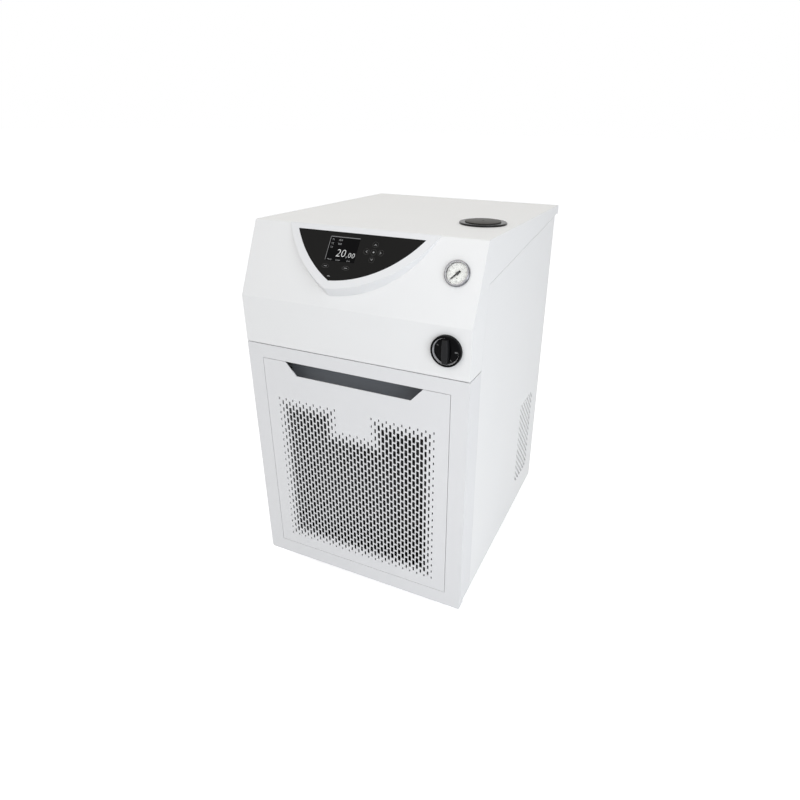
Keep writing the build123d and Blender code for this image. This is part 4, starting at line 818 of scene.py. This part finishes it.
small, word_size, small_lean = 0.0034, 0.00306, 0.1
first_line, line_step, label_start, value_start, word_base = -0.0062, 0.0054, 0.0030, 0.0132, -0.0338
rows = []
for k, (label, value) in enumerate((("T1", "20.0"), ("T2", "20.0"), ("T3", ""))):
    y = first_line - k * line_step
    rows.append(written(label, small, pane_low.x + label_start, y, lean=small_lean))
    if value:
        rows.append(written(value, small, pane_low.x + value_start, y, lean=small_lean))
for word, start in (("Menu", 0.0035), ("Level", 0.0165), ("Unit", 0.0330)):
    rows.append(written(word, word_size, pane_low.x + start, word_base))
printed("display_rows", [], pane_plane, faint_light, "housing", "display_black", extra=rows)

border_high, border_low, border_foot, border_wide = -0.0002, -0.0013, -0.0340, 0.0008
border = [rectangle(pane_low.x, pane_high.x, border_low, border_high),
          rectangle(pane_low.x, pane_low.x + border_wide, border_foot, border_high)]
printed("display_border", border, pane_plane, frame_ink, "housing", "display_black")
print("display marks:", len(digits), "groups of digits and", len(rows), "small words")

# %% [markdown]
# ## The pressure gauge
# A small gauge has a printed dial behind glass: ten ticks over 270 degrees, a number at
# every third of them and two lines under the middle. The prints are laid on the dial's
# own plane, under the moving pointer. A bright ring lines the case under the glass, and
# the pointer gets a counterweight.

# %% Dial prints
dial_plane = front_plane_of("gauge_dial")
dial_low, dial_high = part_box("gauge_dial")
dial_centre = (dial_low + dial_high) / 2
normal = Vector(dial_plane.col[2][:3])
offset = (Vector(dial_plane.translation) - dial_centre).dot(normal)
dial_plane.translation = dial_centre + normal * offset
tick_count, first_angle, tick_step, number_every = 10, 225, 30, 3
tick_inner, tick_outer, tick_line = 0.0104, 0.0120, 0.0004
number_size, number_radius, number_drop = 0.0021, 0.0086, 0.0007
# Each line under the middle: half its length, its lower and its upper edge.
dial_lines = ((0.0010, -0.0062, -0.0056), (0.0016, -0.0096, -0.0090))

ticks, numbers = [], []
for k in range(tick_count):
    angle = first_angle - tick_step * k
    ticks += tick(angle, tick_inner, tick_outer, tick_line)
    if k % number_every == 0:
        x, y = number_radius * cos(radians(angle)), number_radius * sin(radians(angle))
        numbers.append(written(str(k), number_size, x, y - number_drop, "CENTER"))
ticks += [rectangle(-half, half, low, high) for half, low, high in dial_lines]
printed("dial_marks", ticks, dial_plane, dial_ink, "housing", "dial_white", extra=numbers)
print("gauge ticks:", tick_count, "numbers:", len(numbers))

# %% Bright inner ring and the pointer's counterweight
case_low, case_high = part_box("gauge_case")
pointer_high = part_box("gauge_pointer")[1]
bright_inner, bright_outer, bright_slope = 0.0140, 0.0155, 0.0003
bright_foot, bright_edge, bright_face = 0.0025, 0.00312, 0.0032
bright_profile = [(bright_inner, bright_foot), (bright_inner, bright_edge),
                  (bright_inner + bright_slope, bright_face), (bright_outer, bright_face),
                  (bright_outer, bright_foot)]
new_piece("gauge_bright_ring", *placed(turned(bright_profile, plain_turn), dial_plane), pearl,
          "housing", "gauge_rim")

weight_low, weight_high, weight_angle = 0.0013, 0.0017, 45
# Half the weight's outline: distances from the pivot and half its width there.
weight_half = [(0.0, 0.0009), (0.0026, 0.0015), (0.0050, 0.0015)]
weight_outline = [(x, -y) for x, y in weight_half] + weight_half[::-1]
weight_seat = dial_plane @ Matrix.Rotation(radians(weight_angle), 4, "Z")
weight = placed(plate(weight_outline, weight_low, weight_high), weight_seat)
new_piece("pointer_weight", *weight, needle_black, "gauge_pointer", "pointer_black")
print("gauge case:", [round(v * 1000, 1) for v in case_high - case_low], "pointer up to",
      round(pointer_high.z, 4))

# %% [markdown]
# ## The rotary switch
# The switch is a black dish with a barrel-shaped grip across it and a bright ring round
# its wall. The ring is turned with a slight flare: a straight wall would mirror only the
# black dish, while a flared one catches the light as a crescent.

# %% Turn the flared ring
ring_low, ring_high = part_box("switch_ring")
switch_centre = (ring_low + ring_high) / 2
ring_radius = (ring_high.x - ring_low.x) / 2
ring_lip, ring_flare, ring_bend, ring_deep = 0.0002, 0.0009, 0.0028, 0.0042
ring_profile = [(ring_radius, 0.0), (ring_radius - ring_lip, 0.0), (ring_radius - ring_flare, -ring_bend),
                (ring_radius - ring_flare, -ring_deep), (ring_radius, -ring_deep)]
ring_seat = Matrix.Translation((switch_centre.x, ring_low.y, switch_centre.z)) @ forward
ring = new_piece("switch_ring_flared", *placed(turned(ring_profile, close_turn), ring_seat), chrome,
                 "housing", "bright_ring")
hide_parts("switch_ring")
print("switch ring radius:", round(ring_radius * 1000, 2), "mm")

# %% Shape the dish and its grip
knob_low, knob_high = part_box("switch_knob")
dish_radius = (knob_high.x - knob_low.x) / 2
dish_sunk, dish_hollow, dish_flat, dish_thick = 0.0025, 0.0002, 0.0080, 0.0020
dish_slope, dish_rim = 0.0010, 0.0004
stem_radius, stem_deep = 0.0040, 0.0150
dish_profile = [(axis, -dish_hollow), (dish_flat, -dish_hollow), (dish_radius - dish_slope, 0.0),
                (dish_radius, -dish_rim), (dish_radius, -dish_thick), (stem_radius, -dish_thick),
                (stem_radius, -stem_deep), (axis, -stem_deep)]
dish_seat = Matrix.Translation((switch_centre.x, ring_low.y + dish_sunk, switch_centre.z)) @ forward
dish = new_piece("switch_dish", *placed(turned(dish_profile, close_turn), dish_seat), switch_plastic,
                 "switch_knob", "neck_black")
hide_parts("switch_knob")

grip_half, grip_waist, grip_end, bow_steps = 0.0158, 0.0046, 0.0034, 6
# Each level of the grip: its height over the dish and how far its outline is drawn in.
grip_levels = ((0.0, 0.0), (0.0048, 0.0), (0.0060, 0.0003), (0.0067, 0.0009), (0.0069, 0.0020))
grip_smooth = 50.0


def barrel(inset):
    """The grip's outline: two bowed sides between straight ends, drawn in by an inset."""
    points = []
    for side in (1, -1):
        for k in range(2 * bow_steps + 1):
            along = side * (1 - k / bow_steps)
            bow = grip_end + (grip_waist - grip_end) * (1 - along * along)
            points.append((side * (bow - inset), along * (grip_half - inset)))
    return points


grip = skinned([[(x, y, height) for x, y in barrel(inset)] for height, inset in grip_levels])
new_piece("switch_grip", *placed(grip, dish_seat), grip_plastic,
          "switch_knob", "neck_black", angle=grip_smooth)
print("grip stands", round(grip_levels[-1][0] * 1000, 1), "mm out of the dish")

# %% Switch ticks
mark_inner, mark_outer = 0.0125, 0.0146
marks = []
for angle, width in ((150.0, 0.0008), (0.0, 0.0018), (-60.0, 0.0007)):
    marks += tick(angle, mark_inner, mark_outer, width)
printed("switch_ticks", marks, dish_seat, tick_ink, "switch_knob", "neck_black")
print("switch centre:", [round(v, 4) for v in switch_centre])

# %% [markdown]
# ## The filler cap
# The cap sits low in its round flange. Its rim reaches down to the flange and hides the
# seal, so only a dark gap shows round it.

# %% Turn the cap and its seal
neck_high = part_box("filler_neck")[1]
cap_low, cap_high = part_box("filler_cap")
cap_radius = (cap_high.x - cap_low.x) / 2
cap_centre = (cap_low + cap_high) / 2
cap_seat = Matrix.Translation((cap_centre.x, cap_centre.y, neck_high.z))
plug_low = cap_low.z - neck_high.z
plug_outer, plug_inner = 0.0217, 0.0197
rim_low, rim_wall, cap_under, cap_top = 0.0003, 0.0006, 0.0008, 0.0014
dimple_floor, dimple_edge, dimple_deep = 0.0015, 0.0018, 0.0006
cap_round, round_in, round_down = 0.0008, 0.0002, 0.0003
cap_profile = [(axis, cap_top - dimple_deep), (dimple_floor, cap_top - dimple_deep), (dimple_edge, cap_top),
               (cap_radius - cap_round, cap_top), (cap_radius - round_in, cap_top - round_down),
               (cap_radius, cap_top - cap_round), (cap_radius, rim_low), (cap_radius - rim_wall, rim_low),
               (cap_radius - rim_wall, cap_under), (plug_outer, cap_under), (plug_outer, plug_low),
               (plug_inner, plug_low), (plug_inner, 0.0), (axis, 0.0)]
cap = new_piece("filler_cap_turned", *placed(turned(cap_profile, close_turn), cap_seat), cap_plastic,
                "filler_cap", "cap_brown")
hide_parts("filler_cap")
seal_inner, seal_outer, seal_thick = 0.0220, 0.0245, 0.0004
seal_profile = rectangle(seal_inner, seal_outer, rim_low, rim_low + seal_thick)
seal = new_piece("cap_seal_turned", *placed(turned(seal_profile, plain_turn), cap_seat), soft_rubber,
                 "filler_cap", "rubber")
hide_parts("cap_seal")
print("cap stands", cap_top * 1000, "mm over its flange")

# %% [markdown]
# ## Fasteners
# The rear screws are pan heads with a cross recess. A turned profile makes the domed
# head, and a small dark cross in it stands for the recess's shadowed walls.

# %% Pan-head screws
screw_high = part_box("housing_screws")[1]
head_height, head_radius, head_edge, dome_steps = 0.0022, 0.0040, 0.35, 6
shank_radius, shank_length = 0.002, 0.0045
cross_half, cross_line, cross_floor, cross_lift = 0.0018, 0.0003, 0.80, 0.00002
head_reach = 0.012


def screw_centres():
    """Centres of the screw heads, read from the far ends of the heads."""
    far = [v.co for v in solids["housing_screws"].data.vertices if v.co.y >= screw_high.y - same_plane]
    heads = []
    for co in far:
        near = [head for head in heads if (head[0] - co).length < head_reach]
        if near:
            near[0].append(co)
        else:
            heads.append([co])
    centres = []
    for head in heads:
        xs, zs = [co.x for co in head], [co.z for co in head]
        centres.append(((min(xs) + max(xs)) / 2, (min(zs) + max(zs)) / 2))
    return centres


dome = [(axis, head_height)]
for k in range(1, dome_steps + 1):
    angle = pi / 2 * k / dome_steps
    dome.append((head_radius * sin(angle), head_height * (head_edge + (1 - head_edge) * cos(angle))))
dome += [(head_radius, 0.0), (shank_radius, 0.0), (shank_radius, -shank_length), (axis, -shank_length)]
heads, recess_shade_crosses = [], []
for x, z in screw_centres():
    seat = Matrix.Translation((x, screw_high.y - head_height, z)) @ rearward
    heads.append(placed(turned(dome, screw_turn), seat))
    # Each dark cross is painted shade: a thin black plate standing for the shadowed walls of the cross
    # recess.
    for across, up in ((cross_half, cross_line), (cross_line, cross_half)):
        outline = rectangle(-across, across, -up, up)
        cross = plate(outline, head_height * cross_floor, head_height + cross_lift)
        recess_shade_crosses.append(placed(cross, seat))
screws = new_piece("pan_head_screws", *joined(heads), zinc, "housing", "zinc_plate")
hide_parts("housing_screws")
# The recesses are painted shade in black, not cut into the heads.
new_piece("screw_recess_shade", *joined(recess_shade_crosses), needle_black, "housing", "zinc_plate")
print("screws:", len(heads))

# %% [markdown]
# ## Castor wheels
# The solid wheels already have dished sides. What shows from below is the tread and the
# hub, so each wheel is turned again with a crowned tread, a raised rim and a sunk web.

# %% Turn the wheels
wheel_bore, hub_wall, web_sink = 0.0031, 0.0025, 0.0025
# Where the web and the rim begin and end, as shares of the wheel's radius.
web_start, web_end, rim_start, rim_end = 0.5, 0.72, 0.75, 0.86
rim_sink, tread_round, tread_steps = 0.0006, 0.0025, 8


def wheel_profile(radius, width):
    """A closed (radius, height) profile of a castor wheel with a crowned tread."""
    half = width / 2
    flank = [(wheel_bore, -half), (wheel_bore + hub_wall, -half), (radius * web_start, -half + web_sink),
             (radius * web_end, -half + web_sink), (radius * rim_start, -half + rim_sink),
             (radius * rim_end, -half)]
    tread = []
    for k in range(tread_steps + 1):
        angle = -pi / 2 + pi * k / tread_steps
        tread.append((radius - tread_round + tread_round * cos(angle), (half - rim_sink) * sin(angle)))
    return flank + tread + [(r, -z) for r, z in flank[::-1]]


for name in sorted(solids):
    if not name.startswith("castor_wheel"):
        continue
    low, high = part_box(name)
    wheel_seat = Matrix.Translation((low + high) / 2) @ sideways
    profile = wheel_profile((high.z - low.z) / 2, high.x - low.x)
    wheel = new_piece(name + "_turned", *placed(turned(profile, plain_turn), wheel_seat), tread_rubber,
                      name.replace("castor_wheel", "wheel"), "wheel_grey")
    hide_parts(name)
print("wheels turned")

# %% [markdown]
# ## Threads on the ports
# The pump ports carry a pipe thread. In the solid it is a plain cylinder. A thread is a
# ridge that climbs evenly round the stub, so its points are a turned grid whose radius
# follows the height and the angle.

# %% Threaded port stubs
port_low, port_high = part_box("port_nozzles")
thread_pitch, thread_depth, thread_length = 0.0018, 0.0010, 0.018
thread_radius, bore_radius = 0.0132, 0.0090
rings_per_turn, thread_steps = 4, 40
hex_radius, hex_depth, hex_share = 0.0160, 0.0090, 0.86
neck_radius, flange_wall = 0.0117, 0.0018
panel_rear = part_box("rear_panel")[1].y


def thread():
    """A grid that climbs one pitch per turn, faded out at both ends."""
    last = int(thread_length / thread_pitch) * rings_per_turn
    rings = []
    for ring in range(last + 1):
        z = thread_length * ring / last
        fade = min(1.0, z / thread_pitch, (thread_length - z) / thread_pitch)
        points = []
        for k in range(thread_steps):
            angle = tau * k / thread_steps
            wave = (ring / rings_per_turn + k / thread_steps) % 1.0
            r = thread_radius - thread_depth * (1 - abs(wave * 2 - 1) * fade)
            points.append((r * cos(angle), r * sin(angle), z))
        rings.append(points)
    return skinned(rings, capped=False)


port_parts = []
port_reach = port_high.y - panel_rear
collar = port_reach - thread_length
port_root = port_low.y - panel_rear
core_radius, flange_radius = thread_radius - thread_depth, neck_radius + flange_wall
body_profile = [(bore_radius, port_root), (flange_radius, port_root), (flange_radius, 0.0),
                (hex_radius * hex_share, 0.0), (hex_radius * hex_share, hex_depth),
                (neck_radius, hex_depth), (neck_radius, collar), (core_radius, collar),
                (core_radius, port_reach), (bore_radius, port_reach)]
middle = (port_low + port_high) / 2
half_spread = (port_high.x - port_low.x) / 2 - hex_radius
for side in (-1, 1):
    seat = Matrix.Translation((middle.x + side * half_spread, panel_rear, middle.z)) @ rearward
    port_parts.append(placed(turned(body_profile, pipe_turn), seat))
    port_parts.append(placed(thread(), seat @ Matrix.Translation((0, 0, collar))))
    port_parts.append(placed(plate(circle(hex_radius, 6), 0.0, hex_depth), seat))
ports = new_piece("threaded_ports", *joined(port_parts), stainless, "housing", "stainless")
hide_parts("port_nozzles")
print("ports are", round(port_reach * 1000, 1), "mm long behind the panel")

# %% [markdown]
# ## Floor
# The machine stands on a wide white floor. Seen by the camera the floor gets a little
# light of its own, so it meets the white background without an edge and still shows the
# soft shadow under the skirt.

# %% Lay the floor
floor_size, floor_drop = 40.0, 0.0002
floor_colour = (0.86, 0.86, 0.86, 1.0)
floor_roughness, floor_glow = 0.9, 0.60

floor_points = [(x, y, -floor_drop) for x, y in rectangle(-floor_size, floor_size, -floor_size, floor_size)]
floor_mesh = bpy.data.meshes.new("floor")
floor_mesh.from_pydata(floor_points, [], [(0, 1, 2, 3)])
floor = bpy.data.objects.new("floor", floor_mesh)
scene.collection.objects.link(floor)
paper = bpy.data.materials.new("white_paper")
paper.use_nodes = True
tree = paper.node_tree
shader = tree.nodes["Principled BSDF"]
put(shader, "Base Color", floor_colour)
put(shader, "Roughness", floor_roughness)
glow = tree.nodes.new("ShaderNodeMath")
glow.operation = "MULTIPLY"
put(glow, 1, floor_glow)
link(tree, seen_directly(tree), glow.inputs[0])
put(shader, "Emission Color", plain_white)
link(tree, glow.outputs[0], shader.inputs["Emission Strength"])
floor_mesh.materials.append(paper)
print("floor laid")
